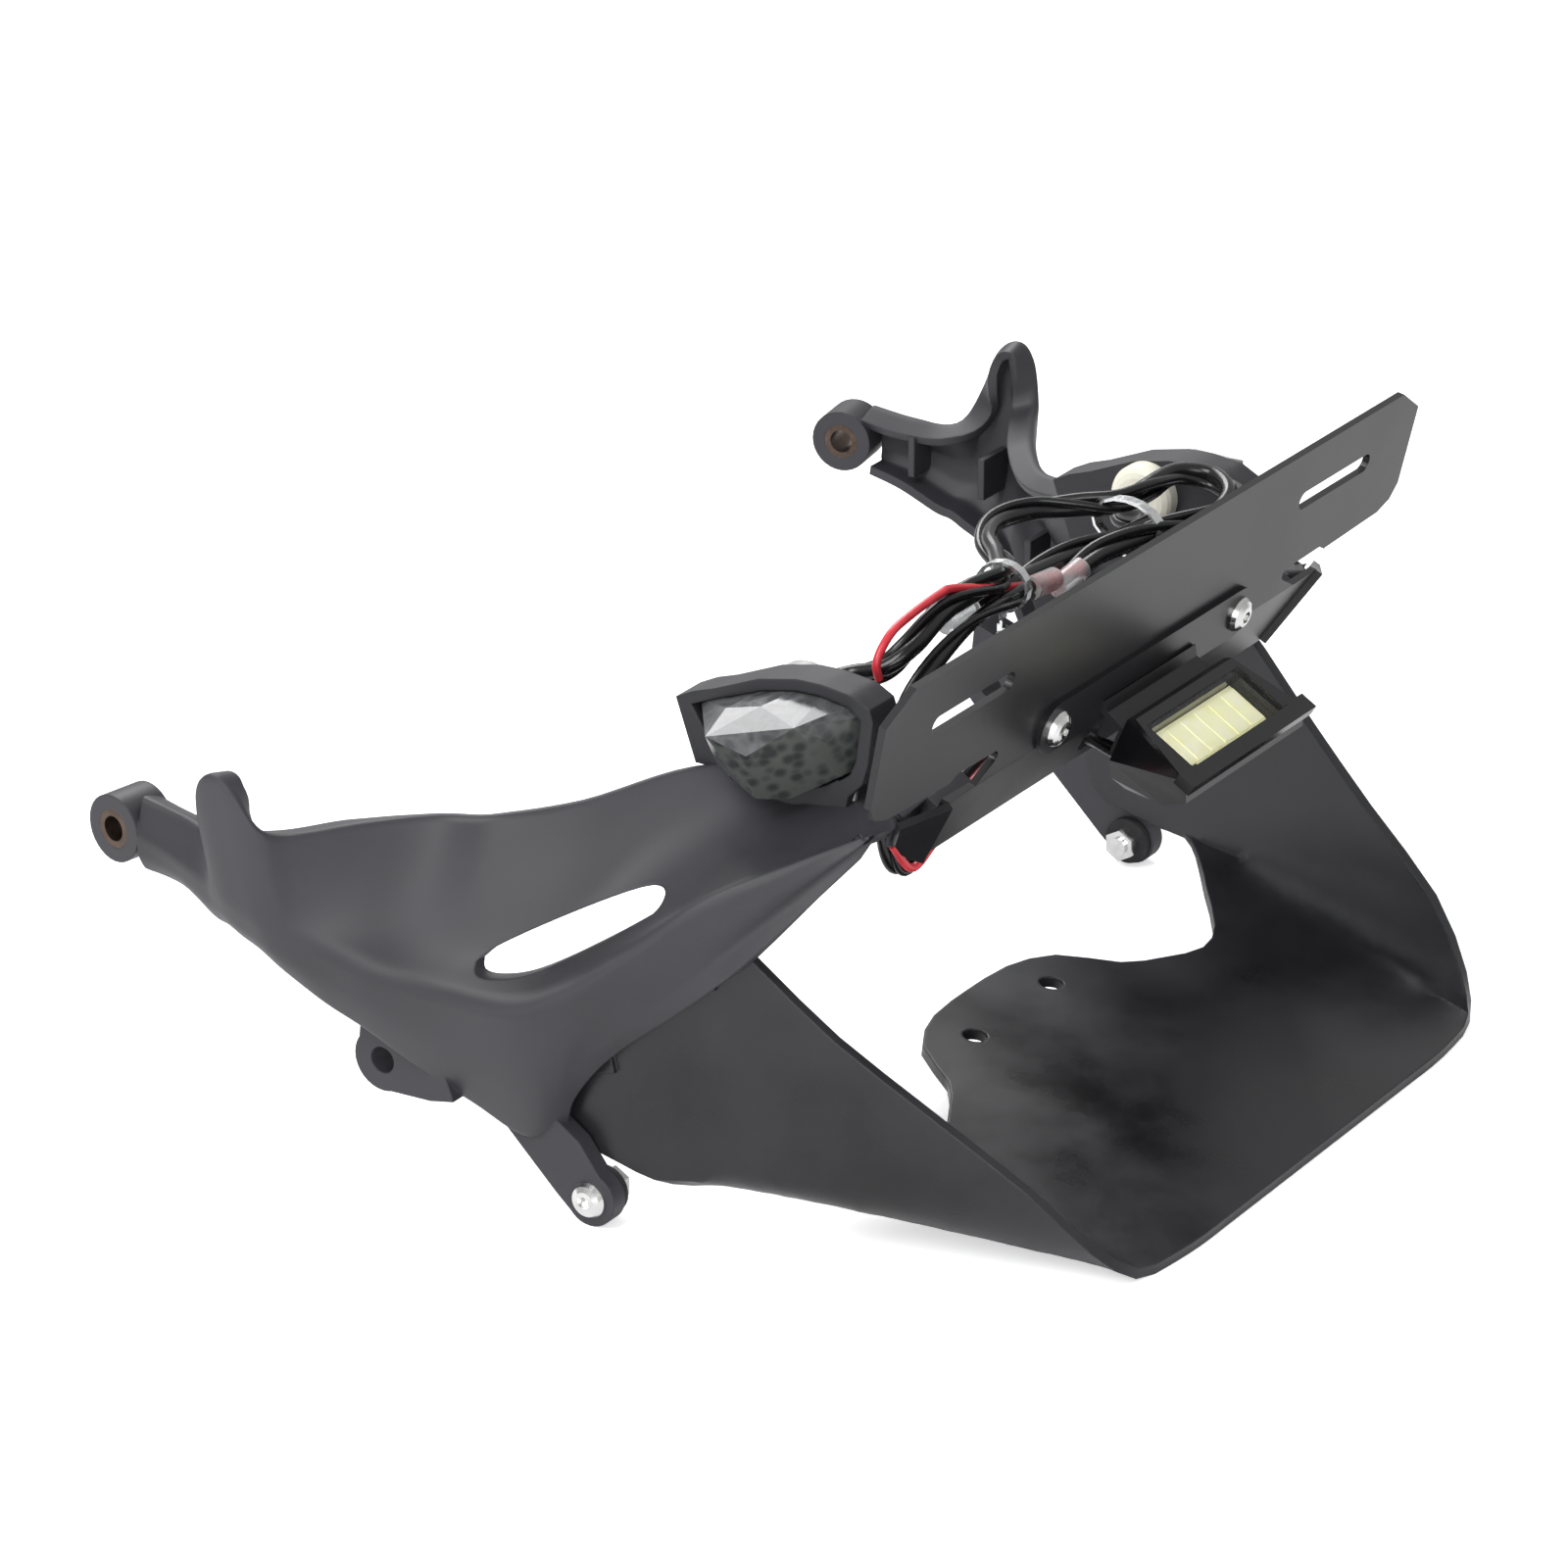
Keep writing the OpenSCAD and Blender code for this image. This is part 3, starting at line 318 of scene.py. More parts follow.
def inset(grid, wall):
    """The same grid of points, one wall further in."""
    rows, columns = len(grid), len(grid[0])
    out = []
    for i in range(rows):
        i0, i1 = max(i - 1, 0), min(i + 1, rows - 1)
        row = []
        for j in range(columns):
            j0, j1 = max(j - 1, 0), min(j + 1, columns - 1)
            normal = (grid[i1][j] - grid[i0][j]).cross(grid[i][j1] - grid[i][j0]).normalized()
            row.append(grid[i][j] - wall * normal)
        out.append(row)
    return out


# %% [markdown]
# The rear tip lies on the front face of the plate bracket's tab. Three corners of the tab give its
# plane. Whatever of the last two sections would pass through it is pushed back to stand just in
# front.

# %% Keep the tip in front of the tab
TAB_LOW = Vector((84, -58.6, 96.4))
TAB_HIGH = Vector((91, -71.2, 116.4))
TAB_OUT = Vector((104, -63, 113))
TAB_CLEARANCE = 0.15
TAB_REACH = 22

tab_up = (TAB_HIGH - TAB_LOW).normalized()
tab_normal = tab_up.cross(TAB_OUT - TAB_HIGH).normalized()
tab_across = tab_normal.cross(tab_up)


def clear_of_tab(grid):
    """The grid, with the rows of its last two sections kept in front of the tab."""
    first = len(grid) - 2 * SMOOTH_STEPS
    out = []
    for i, row in enumerate(grid):
        kept = []
        for p in row:
            depth = TAB_CLEARANCE - (p - TAB_LOW).dot(tab_normal)
            near = i >= first and (p - TAB_LOW).dot(tab_across) <= TAB_REACH
            kept.append(p + max(0.0, depth) * tab_normal if near else p)
        out.append(kept)
    return out


# %% [markdown]
# Two kinds of solid make up an arm. The shell lies between the outer skin and the same skin one wall
# further in, closed by a rim. Everything that stands on it, or is cut out of it, is a prism.

# %% Meshes for the shell and for what stands on it
def mesh_from(name, points, faces):
    """An object from points in millimetres and faces."""
    mesh = bpy.data.meshes.new(name)
    mesh.from_pydata([p * MM for p in points], [], faces)
    return mesh_object(name, mesh)


def shell_between(name, outer, under):
    """A closed solid between two grids of points."""
    rows, columns = len(outer), len(outer[0])
    n = rows * columns
    points = [p for grid in (outer, under) for row in grid for p in row]
    at = [[i * columns + j for j in range(columns)] for i in range(rows)]
    faces = []
    for i in range(rows - 1):
        for j in range(columns - 1):
            ring = (at[i][j], at[i + 1][j], at[i + 1][j + 1], at[i][j + 1])
            faces += [ring, tuple(n + v for v in reversed(ring))]
    rim = [row[0] for row in at] + at[-1][1:] + [row[-1] for row in at[-2::-1]] + at[0][-2:0:-1]
    for a, b in zip(rim, rim[1:] + rim[:1]):
        faces.append((b, a, n + a, n + b))
    return mesh_from(name, points, faces)


def standing(name, outline, depth, matrix):
    """A prism: an outline in its own plane, raised along z and then placed."""
    count = len(outline)
    sides = zip(outline, [*outline[1:], outline[0]])
    doubled_area = sum(a[0] * b[1] - b[0] * a[1] for a, b in sides)
    if doubled_area < 0:
        outline = outline[::-1]
    points = [matrix @ Vector((*p, z)) for z in (0.0, depth) for p in outline]
    faces = [tuple(reversed(range(count))), tuple(range(count, 2 * count))]
    faces += [(k, (k + 1) % count, count + (k + 1) % count, count + k) for k in range(count)]
    return mesh_from(name, points, faces)


def circle_points(centre, diameter, count=32):
    """A circle as points."""
    radius = diameter / 2
    turns = [2 * math.pi * k / count for k in range(count)]
    return [(centre[0] + radius * math.cos(a), centre[1] + radius * math.sin(a)) for a in turns]


def across(name, outline, x, width):
    """A prism whose outline is drawn from the side, as y and z, and which starts at x."""
    sideways = Matrix(((0, 0, 1, x), (1, 0, 0, 0), (0, 1, 0, 0), (0, 0, 0, 1)))
    return standing(name, outline, width, sideways)


# %% [markdown]
# What stands on the arm: the front eye, the stay lug and the foot lug with their webs, the bosses
# for the tray's ears and the indicator's screws, the ribs, and the block behind the plate bracket's
# band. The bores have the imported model's sizes. The window's outline and the foot's broader web
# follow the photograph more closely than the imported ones, and the ribs follow the deeper valley.

# %% Sizes and places of the lugs, ribs and bosses, in millimetres
# Ears are given by y, z and the x where they start, ribs by y, z and both ends in x
EYE_CENTRE = (164.5, 120.5, 92.5)
EYE_TOE = math.radians(10)
EYE_DIAMETER, EYE_LENGTH, COLLAR_DIAMETER = 17.6, 12, 10
STAY_CENTRE, STAY_DIAMETER, STAY_BORE = (56.4, 38), 16.8, 7
STAY_X, STAY_WIDTH = 138.5, 11
STAY_WEB = [(56.4, 29.9), (42, 30.5), (35, 32), (38, 40), (50, 52), (62, 56), (63.4, 42)]
FOOT_CENTRE, FOOT_DIAMETER, SCREW_HOLE = (5, 7.3), 14.6, 5.4
FOOT_X, FOOT_WIDTH = 129.5, 5
FOOT_WEB = [(9.5, 1.7), (15, 6.5), (31, 22), (33, 31), (20, 30), (8, 22), (-2.2, 8.3)]
EAR_PLACES = [(8, 48.5, 129), (-18, 77, 126.5)]
BOSS_DIAMETER, BOSS_LENGTH, BOSS_HOLE = 9, 7.5, 4
RIB_THICKNESS, RIB_HEIGHT = 2, 12
RIBS = [(98, 91, 162, 171), (76, 88, 164, 177), (52, 73, 150, 161), (34, 68, 142, 152)]
POD_SCREWS = [(91, -26, 101.5), (91, -44, 104.5)]
POD_BOSS_DIAMETER, POD_BOSS_LENGTH = 7, 4.5
POD_HOLE, POD_HOLE_Z, POD_HOLE_LENGTH = 3, 90, 24
WINDOW = [
    (26, 73), (23.2, 76), (15, 80.8), (5, 85.7), (-3, 89.2), (-7.5, 90.4), (-10.4, 90), (-11.7, 88.6),
    (-11.4, 87), (-10, 85.8), (-3, 80.8), (6.5, 74.8), (14, 71.3), (20.5, 70.2), (24.6, 70.8),
]
BLOCK_FACE = [(71, -5), (88, -5), (83, -16), (71, -16)]
BLOCK_BASE = [(71, -5), (84, -5), (95, -9), (93, -16), (71, -16)]
BLOCK_STEP, BLOCK_DEPTH = 4, 9
STUD_PLACE = (78, -11)
OVERLAP = 0.01
LEAD_IN = 1
PAST_END = 3
WINDOW_STEPS = 4
# The window and the two side bores are cut from this x on, over this length
WINDOW_CUT, STAY_CUT, FOOT_CUT = (60, 140), (100, 90), (110, 40)
EYE_CUT = 40
SMALL_CIRCLE, SMALLEST_CIRCLE = 24, 16
# The plate's place and tilt, and the fold of its lower band
SHEET = 2
PLATE_PLACE, PLATE_TILT = (0, -76.6, 142.6), math.radians(102)
FOLD_PLACE, FOLD_TURN = (0, -27, -SHEET / 2), math.radians(20)

to_side = Matrix.Rotation(math.pi / 2, 4, "Y")
on_eye = Matrix.Translation(EYE_CENTRE) @ Matrix.Rotation(EYE_TOE, 4, "Z") @ to_side
on_plate = Matrix.Translation(PLATE_PLACE) @ Matrix.Rotation(PLATE_TILT, 4, "X")
on_band = on_plate @ Matrix.Translation(FOLD_PLACE) @ Matrix.Rotation(FOLD_TURN, 4, "X")
print("ribs and bosses on an arm:", len(RIBS) + len(EAR_PLACES) + len(POD_SCREWS))


def lift(matrix, z):
    """The same placing, moved along its own z."""
    return matrix @ Matrix.Translation((0, 0, z))


# %% Solids that are added to the shell, and those that are cut out
def arm_additions():
    """The solids that grow out of the shell."""
    eye = circle_points((0, 0), EYE_DIAMETER)
    pod_boss = circle_points((0, 0), POD_BOSS_DIAMETER, SMALL_CIRCLE)
    face_z = -SHEET / 2 - BLOCK_STEP
    base_z = -SHEET / 2 - BLOCK_DEPTH
    made = [
        standing("eye", eye, EYE_LENGTH, lift(on_eye, -EYE_LENGTH / 2)),
        across("stay", circle_points(STAY_CENTRE, STAY_DIAMETER), STAY_X, STAY_WIDTH),
        across("stay_web", STAY_WEB, STAY_X, STAY_WIDTH),
        across("foot", circle_points(FOOT_CENTRE, FOOT_DIAMETER), FOOT_X, FOOT_WIDTH),
        across("foot_web", FOOT_WEB, FOOT_X, FOOT_WIDTH),
        standing("block_face", BLOCK_FACE, BLOCK_STEP + OVERLAP, lift(on_band, face_z)),
        standing("block_base", BLOCK_BASE, BLOCK_DEPTH - BLOCK_STEP, lift(on_band, base_z)),
    ]
    for y, z, x in EAR_PLACES:
        made.append(across("boss", circle_points((y, z), BOSS_DIAMETER), x, BOSS_LENGTH))
    for y, z, x0, x1 in RIBS:
        half_y, half_z = RIB_THICKNESS / 2, RIB_HEIGHT / 2
        signs = ((-1, -1), (1, -1), (1, 1), (-1, 1))
        made.append(across("rib", [(y + a * half_y, z + b * half_z) for a, b in signs], x0, x1 - x0))
    for place in POD_SCREWS:
        made.append(standing("pod_boss", pod_boss, POD_BOSS_LENGTH, Matrix.Translation(place)))
    return made


def arm_cutters():
    """The window and the bores."""
    window = smooth_line([Vector(p) for p in [*WINDOW, WINDOW[0]]], WINDOW_STEPS)[:-1]
    eye_bore = circle_points((0, 0), COLLAR_DIAMETER)
    stud_hole = circle_points(STUD_PLACE, SCREW_HOLE)
    stud_start = -BLOCK_DEPTH - PAST_END
    pod_hole = circle_points((0, 0), POD_HOLE, SMALLEST_CIRCLE)
    made = [
        across("window", [tuple(p) for p in window], *WINDOW_CUT),
        standing("eye_bore", eye_bore, EYE_CUT, lift(on_eye, -EYE_CUT / 2)),
        across("stay_bore", circle_points(STAY_CENTRE, STAY_BORE), *STAY_CUT),
        across("foot_bore", circle_points(FOOT_CENTRE, SCREW_HOLE), *FOOT_CUT),
        standing("stud_hole", stud_hole, BLOCK_DEPTH + PAST_END, lift(on_band, stud_start)),
    ]
    for y, z, x in EAR_PLACES:
        hole = circle_points((y, z), BOSS_HOLE, SMALL_CIRCLE)
        made.append(across("boss_hole", hole, x - LEAD_IN, BOSS_LENGTH - LEAD_IN))
    for x, y, _ in POD_SCREWS:
        placed = Matrix.Translation((x, y, POD_HOLE_Z))
        made.append(standing("pod_hole", pod_hole, POD_HOLE_LENGTH, placed))
    return made


# %% [markdown]
# A Boolean modifier joins the additions to the shell, and a second one cuts the openings. The result
# is kept as a plain mesh, and the helpers go. Edges that turn by more than 35 degrees stay sharp,
# and the rest is shaded as one skin.

# %% Helpers that join, cut and shade
MERGE_DISTANCE = 0.00001
ARM_EDGE_ANGLE = math.radians(35)


def combine(obj, others, operation):
    """Joins other solids to an object, or cuts them out, and removes them."""
    group = bpy.data.collections.new("helpers")
    for other in others:
        group.objects.link(other)
    step = obj.modifiers.new(operation.lower(), "BOOLEAN")
    step.operation = operation
    step.operand_type = "COLLECTION"
    step.collection = group
    step.solver = "EXACT"
    step.use_self = True
    done = plain_mesh(obj)
    obj.modifiers.clear()
    obj.data = done
    for other in others:
        bpy.data.objects.remove(other)
    bpy.data.collections.remove(group)


def soften(mesh, angle):
    """Smooth shading, with an edge kept sharp where two faces turn more than this."""
    bm = bmesh.new()
    bm.from_mesh(mesh)
    bmesh.ops.remove_doubles(bm, verts=bm.verts, dist=MERGE_DISTANCE)
    bmesh.ops.recalc_face_normals(bm, faces=bm.faces)
    for edge in bm.edges:
        edge.smooth = len(edge.link_faces) == 2 and edge.calc_face_angle(0.0) < angle
    for face in bm.faces:
        face.smooth = True
    bm.to_mesh(mesh)
    bm.free()


# %% Build one arm and its mirror image
skin = [arm_section(i) for i in range(ARM_ROWS)]
inner_skin = inset(skin, ARM_WALL)
right_arm = shell_between("right_arm_shell", clear_of_tab(skin), clear_of_tab(inner_skin))
combine(right_arm, arm_additions(), "UNION")
combine(right_arm, arm_cutters(), "DIFFERENCE")
left_arm = mesh_object("left_arm_shell", right_arm.data.copy())
left_arm.data.transform(Matrix.Scale(-1, 4, (1, 0, 0)))
for arm, node in ((right_arm, "right_arm"), (left_arm, "left_arm")):
    soften(arm.data, ARM_EDGE_ANGLE)
    dress_node(arm, node)
    arm.modifiers.new("even_normals", "WEIGHTED_NORMAL").keep_sharp = True
    print(arm.name, "faces:", len(arm.data.polygons))

# %% [markdown]
# ## The tray and the pods
#
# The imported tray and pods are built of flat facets. In a copy, the facets are cut into small ones,
# and each point that isn't on a real edge is relaxed toward its neighbours. The facets melt into one
# skin, and every real edge keeps its place.

# %% A copy of a node with its skins relaxed
EDGE_ANGLE = math.radians(30)
THINNEST_FACE = 0.00002
MOST_CUTS = 6


def moulded(node, cell, rounds):
    """A copy of a node: facets cut down to a size in millimetres, then relaxed."""
    bm = bmesh.new()
    bm.from_mesh(nodes[node].data)
    bmesh.ops.remove_doubles(bm, verts=bm.verts, dist=MERGE_DISTANCE)
    bmesh.ops.dissolve_degenerate(bm, edges=bm.edges, dist=THINNEST_FACE)
    bmesh.ops.triangulate(bm, faces=bm.faces)
    for edge in bm.edges:
        edge.smooth = len(edge.link_faces) == 2 and edge.calc_face_angle(0.0) < EDGE_ANGLE
    for _ in range(MOST_CUTS):
        long_edges = [e for e in bm.edges if e.calc_length() > cell * MM]
        if not long_edges:
            break
        bmesh.ops.subdivide_edges(bm, edges=long_edges, cuts=1)
        bmesh.ops.triangulate(bm, faces=[f for f in bm.faces if len(f.verts) > 3])
        soft = [e for e in bm.edges if e.smooth and len(e.link_faces) == 2]
        bmesh.ops.beautify_fill(bm, faces=bm.faces, edges=soft, method="ANGLE")
    free = [v for v in bm.verts if all(e.smooth for e in v.link_edges)]
    for _ in range(rounds):
        bmesh.ops.smooth_vert(
            bm, verts=free, factor=0.5, use_axis_x=True, use_axis_y=True, use_axis_z=True
        )
    for face in bm.faces:
        face.smooth = True
    mesh = bpy.data.meshes.new(node + "_moulded")
    bm.to_mesh(mesh)
    bm.free()
    copy = mesh_object(node + "_moulded", mesh)
    dress_node(copy, node)
    print(copy.name, "faces:", len(mesh.polygons))
    return copy


# %% Relax the tray and the pods
CELL = 3.2
TRAY_ROUNDS, POD_ROUNDS = 20, 2
tray = moulded("tray", CELL, TRAY_ROUNDS)
left_pod = moulded("left_pod", CELL, POD_ROUNDS)
right_pod = moulded("right_pod", CELL, POD_ROUNDS)

# %% [markdown]
# ## Pressed, turned and cut edges
#
# The sheet and the small hardware already have the right form. A narrow bevel breaks their edges,
# as deburring does, so each edge catches a thin line of light.

# %% Break the edges of the remaining nodes, each by a width in millimetres
BEVELS = {
    "plate_bracket": 0.35,
    "lamp_bracket": 0.3,
    "lamp_housing": 0.7,
    "lamp_lens": 0.25,
    "lamp_board": 0.12,
    "left_lens": 0.35,
    "right_lens": 0.35,
    "left_light_board": 0.2,
    "right_light_board": 0.2,
    "left_cap": 0.2,
    "right_cap": 0.2,
    "foot_screws": 0.15,
    "lamp_screws": 0.15,
    "foot_nuts": 0.2,
    "lamp_nuts": 0.2,
    "bracket_nuts": 0.2,
    "bracket_studs": 0.3,
    "foot_spacers": 0.25,
    "tray_screws": 0.2,
    "pod_screws": 0.2,
    "eye_collars": 0.3,
    "lamp_grommet": 0.2,
    "connector_sleeves": 0.3,
    "ties": 0.1,
}
for name, width in BEVELS.items():
    bevel = nodes[name].modifiers.new("broken_edge", "BEVEL")
    bevel.width = width * MM
    bevel.segments = 2
    bevel.limit_method = "ANGLE"
    bevel.angle_limit = EDGE_ANGLE
print("edges broken on", len(BEVELS), "nodes")

# %% [markdown]
# ## Effects that several finishes share
#
# Every finish is a small set of nodes. What more than one of them needs is a node group, built
# once: the fine grain of a mould, the soft cloudy change of gloss that handling leaves, and the mix
# of a darker and a lighter tone.

# %% Helpers for a node group
def start_group(name, inputs, outputs):
    """A shader node group with named float or colour sockets, and its two end nodes."""
    group = bpy.data.node_groups.new(name, "ShaderNodeTree")
    for label, kind, value in inputs:
        socket = group.interface.new_socket(label, in_out="INPUT", socket_type=kind)
        socket.default_value = value
    for label, kind in outputs:
        group.interface.new_socket(label, in_out="OUTPUT", socket_type=kind)
    entry = group.nodes.new("NodeGroupInput")
    leave = group.nodes.new("NodeGroupOutput")
    return group, entry, leave


def math_node(tree, operation, a=None, b=None):
    """A Math node with two optional plain values."""
    node = tree.nodes.new("ShaderNodeMath")
    node.operation = operation
    if a is not None:
        node.inputs[0].default_value = a
    if b is not None:
        node.inputs[1].default_value = b
    return node


# %% [markdown]
# ### Mould grain
#
# The steel mould is etched, so the plastic comes out with a fine leathery grain, a few tenths of a
# millimetre across. A noise and a finer cell pattern are blended into a height for a Bump node.

# %% Build the grain group
FLOAT = "NodeSocketFloat"
COLOR = "NodeSocketColor"
MM_PER_METRE = 1000.0
FINER_BY = 2.7
FINE_SHARE = 0.35

grain_group, entry, leave = start_group(
    "mould_grain",
    [("Cell Size mm", FLOAT, 0.5), ("Roughness Of Grain", FLOAT, 0.6)],
    [("Height", FLOAT)],
)
place = grain_group.nodes.new("ShaderNodeTexCoord")
frequency = math_node(grain_group, "DIVIDE", a=MM_PER_METRE)
coarse = grain_group.nodes.new("ShaderNodeTexNoise")
coarse.inputs["Detail"].default_value = 3.0
fine_frequency = math_node(grain_group, "MULTIPLY", b=FINER_BY)
fine = grain_group.nodes.new("ShaderNodeTexVoronoi")
fine.feature = "SMOOTH_F1"
blend = grain_group.nodes.new("ShaderNodeMix")
blend.data_type = "FLOAT"
blend.inputs["Factor"].default_value = FINE_SHARE
links = grain_group.links
links.new(entry.outputs["Cell Size mm"], frequency.inputs[1])
links.new(frequency.outputs[0], coarse.inputs["Scale"])
links.new(frequency.outputs[0], fine_frequency.inputs[0])
links.new(fine_frequency.outputs[0], fine.inputs["Scale"])
links.new(entry.outputs["Roughness Of Grain"], coarse.inputs["Roughness"])
links.new(place.outputs["Object"], coarse.inputs["Vector"])
links.new(place.outputs["Object"], fine.inputs["Vector"])
links.new(coarse.outputs["Fac"], blend.inputs["A"])
links.new(fine.outputs["Distance"], blend.inputs["B"])
links.new(blend.outputs["Result"], leave.inputs["Height"])
print("group:", grain_group.name)

# %% [markdown]
# ### Cloudy gloss
#
# No real surface has one gloss all over. Hands, release agent and dust leave broad soft patches.
# This group turns a large noise into a roughness between two given values, and a small shift of
# tone for the colour.

# %% Build the cloudy gloss group
NOISE_LOW, NOISE_HIGH = 0.3, 0.7

cloud_group, entry, leave = start_group(
    "cloudy_gloss",
    [("Patch Size mm", FLOAT, 30.0), ("Roughness Low", FLOAT, 0.4), ("Roughness High", FLOAT, 0.5)],
    [("Roughness", FLOAT), ("Tone", FLOAT)],
)
place = cloud_group.nodes.new("ShaderNodeTexCoord")
frequency = math_node(cloud_group, "DIVIDE", a=MM_PER_METRE)
patches = cloud_group.nodes.new("ShaderNodeTexNoise")
patches.inputs["Detail"].default_value = 4.0
patches.inputs["Roughness"].default_value = 0.55
spread = cloud_group.nodes.new("ShaderNodeMapRange")
spread.inputs["From Min"].default_value = NOISE_LOW
spread.inputs["From Max"].default_value = NOISE_HIGH
links = cloud_group.links
links.new(entry.outputs["Patch Size mm"], frequency.inputs[1])
links.new(frequency.outputs[0], patches.inputs["Scale"])
links.new(place.outputs["Object"], patches.inputs["Vector"])
links.new(patches.outputs["Fac"], spread.inputs["Value"])
links.new(entry.outputs["Roughness Low"], spread.inputs["To Min"])
links.new(entry.outputs["Roughness High"], spread.inputs["To Max"])
links.new(spread.outputs["Result"], leave.inputs["Roughness"])
links.new(patches.outputs["Fac"], leave.inputs["Tone"])
print("group:", cloud_group.name)

# %% [markdown]
# ### Two tones
#
# A colour that is the same all over looks like paint on a screen. This group mixes a darker and a
# lighter version of a finish by a mask, such as the cloudy tone.

# %% Build the two-tone group
tone_group, entry, leave = start_group(
    "two_tones",
    [
        ("Dark", COLOR, (0.02, 0.02, 0.02, 1)),
        ("Light", COLOR, (0.05, 0.05, 0.05, 1)),
        ("Mask", FLOAT, 0.5),
    ],
    [("Color", COLOR)],
)
spread = tone_group.nodes.new("ShaderNodeMapRange")
spread.inputs["From Min"].default_value = NOISE_LOW
spread.inputs["From Max"].default_value = NOISE_HIGH
mixer = tone_group.nodes.new("ShaderNodeMix")
mixer.data_type = "RGBA"
links = tone_group.links
links.new(entry.outputs["Mask"], spread.inputs["Value"])
links.new(spread.outputs["Result"], mixer.inputs["Factor"])
links.new(entry.outputs["Dark"], mixer.inputs["A"])
links.new(entry.outputs["Light"], mixer.inputs["B"])
links.new(mixer.outputs["Result"], leave.inputs["Color"])
print("group:", tone_group.name)


# %% [markdown]
# ## The finishes
#
# One helper makes the plain start of a finish, with its constant values on the shader's own
# sockets. A second adds grain, cloudy gloss and two tones from the groups.

# %% Helpers for a finish
GRAIN_DEPTH_MM = 0.05


def start_finish(name, **values):
    """A material with a Principled shader and these constant socket values."""
    material = bpy.data.materials.new(name)
    material.use_nodes = True
    shader = material.node_tree.nodes["Principled BSDF"]
    for label, value in values.items():
        shader.inputs[label.replace("_", " ")].default_value = value
    return material, material.node_tree, shader


def place_group(tree, group, **values):
    """A group node in a material, with its own values."""
    node = tree.nodes.new("ShaderNodeGroup")
    node.node_tree = group
    for label, value in values.items():
        node.inputs[label.replace("_", " ")].default_value = value
    return node


def shade_by_piece(tree, shader):
    """Multiplies a finish by the piece's own colour, so one moulding can be darker than another."""
    piece = tree.nodes.new("ShaderNodeObjectInfo")
    shade = tree.nodes.new("ShaderNodeMix")
    shade.data_type = "RGBA"
    shade.blend_type = "MULTIPLY"
    shade.inputs["Factor"].default_value = 1.0
    source = shader.inputs["Base Color"].links[0].from_socket
    tree.links.new(source, shade.inputs["A"])
    tree.links.new(piece.outputs["Color"], shade.inputs["B"])
    tree.links.new(shade.outputs["Result"], shader.inputs["Base Color"])


def dress(tree, shader, dark, light, low, high, patch=30.0, cell=0.5, bump=0.08, edge_mm=0.0):
    """Adds two tones, cloudy gloss from low to high and, where asked, grain and rounded edges."""
    cloud = place_group(
        tree, cloud_group, Patch_Size_mm=patch, Roughness_Low=low, Roughness_High=high
    )
    tones = place_group(tree, tone_group, Dark=(*dark, 1.0), Light=(*light, 1.0))
    tree.links.new(cloud.outputs["Tone"], tones.inputs["Mask"])
    tree.links.new(tones.outputs["Color"], shader.inputs["Base Color"])
    tree.links.new(cloud.outputs["Roughness"], shader.inputs["Roughness"])
    if bump > 0:
        grain = place_group(tree, grain_group, Cell_Size_mm=cell)
        rise = tree.nodes.new("ShaderNodeBump")
        rise.inputs["Strength"].default_value = bump
        rise.inputs["Distance"].default_value = GRAIN_DEPTH_MM * MM
        tree.links.new(grain.outputs["Height"], rise.inputs["Height"])
        tree.links.new(rise.outputs["Normal"], shader.inputs["Normal"])
        if edge_mm > 0:
            rounded = tree.nodes.new("ShaderNodeBevel")
            rounded.samples = 4
            rounded.inputs["Radius"].default_value = edge_mm * MM
            tree.links.new(rounded.outputs["Normal"], rise.inputs["Normal"])


# %% [markdown]
# ### Black plastics and rubber
#
# The arms and pods are one black moulding compound with a fine grain and a broad dull sheen. The
# tray has worn smoother, in broad patches. The lamp's housing comes from a polished mould.

# %% Make the black finishes
moulding, tree, shader = start_finish("moulded_plastic", IOR=1.5, Specular_IOR_Level=0.45)
dress(
    tree, shader, (0.022, 0.022, 0.026), (0.034, 0.034, 0.041), 0.46, 0.58,
    patch=45, cell=0.45, bump=0.4, edge_mm=0.8,
)
shade_by_piece(tree, shader)

tray_plastic, tree, shader = start_finish("tray_plastic", IOR=1.5, Specular_IOR_Level=0.5)
dress(
    tree, shader, (0.003, 0.003, 0.004), (0.014, 0.014, 0.018), 0.22, 0.44,
    patch=38, cell=0.6, bump=0.3, edge_mm=0.8,
)

gloss_black, tree, shader = start_finish("gloss_black", IOR=1.5)
dress(
    tree, shader, (0.003, 0.003, 0.0035), (0.006, 0.006, 0.007), 0.12, 0.2,
    patch=18, cell=0.8, bump=0.03,
)

black_rubber, tree, shader = start_finish("black_rubber", IOR=1.5, Specular_IOR_Level=0.3)
dress(
    tree, shader, (0.012, 0.012, 0.013), (0.024, 0.024, 0.026), 0.6, 0.75,
    patch=6, cell=0.4, bump=0.3,
)

black_cable, tree, shader = start_finish("black_cable", IOR=1.5)
dress(
    tree, shader, (0.003, 0.003, 0.0035), (0.008, 0.008, 0.009), 0.2, 0.32,
    patch=9, cell=0.6, bump=0.15,
)
print("black finishes made")

# %% [markdown]
# ### Coated sheet
#
# The plate bracket is steel with a powder coat: darker and glossier than the plastic, with the
# faint orange peel that the powder leaves when it melts.

# %% Make the coated sheet
coated_sheet, tree, shader = start_finish("coated_sheet", IOR=1.5, Specular_IOR_Level=0.4)
dress(
    tree, shader, (0.007, 0.007, 0.008), (0.012, 0.012, 0.0135), 0.3, 0.38,
    patch=60, cell=1.1, bump=0.12,
)

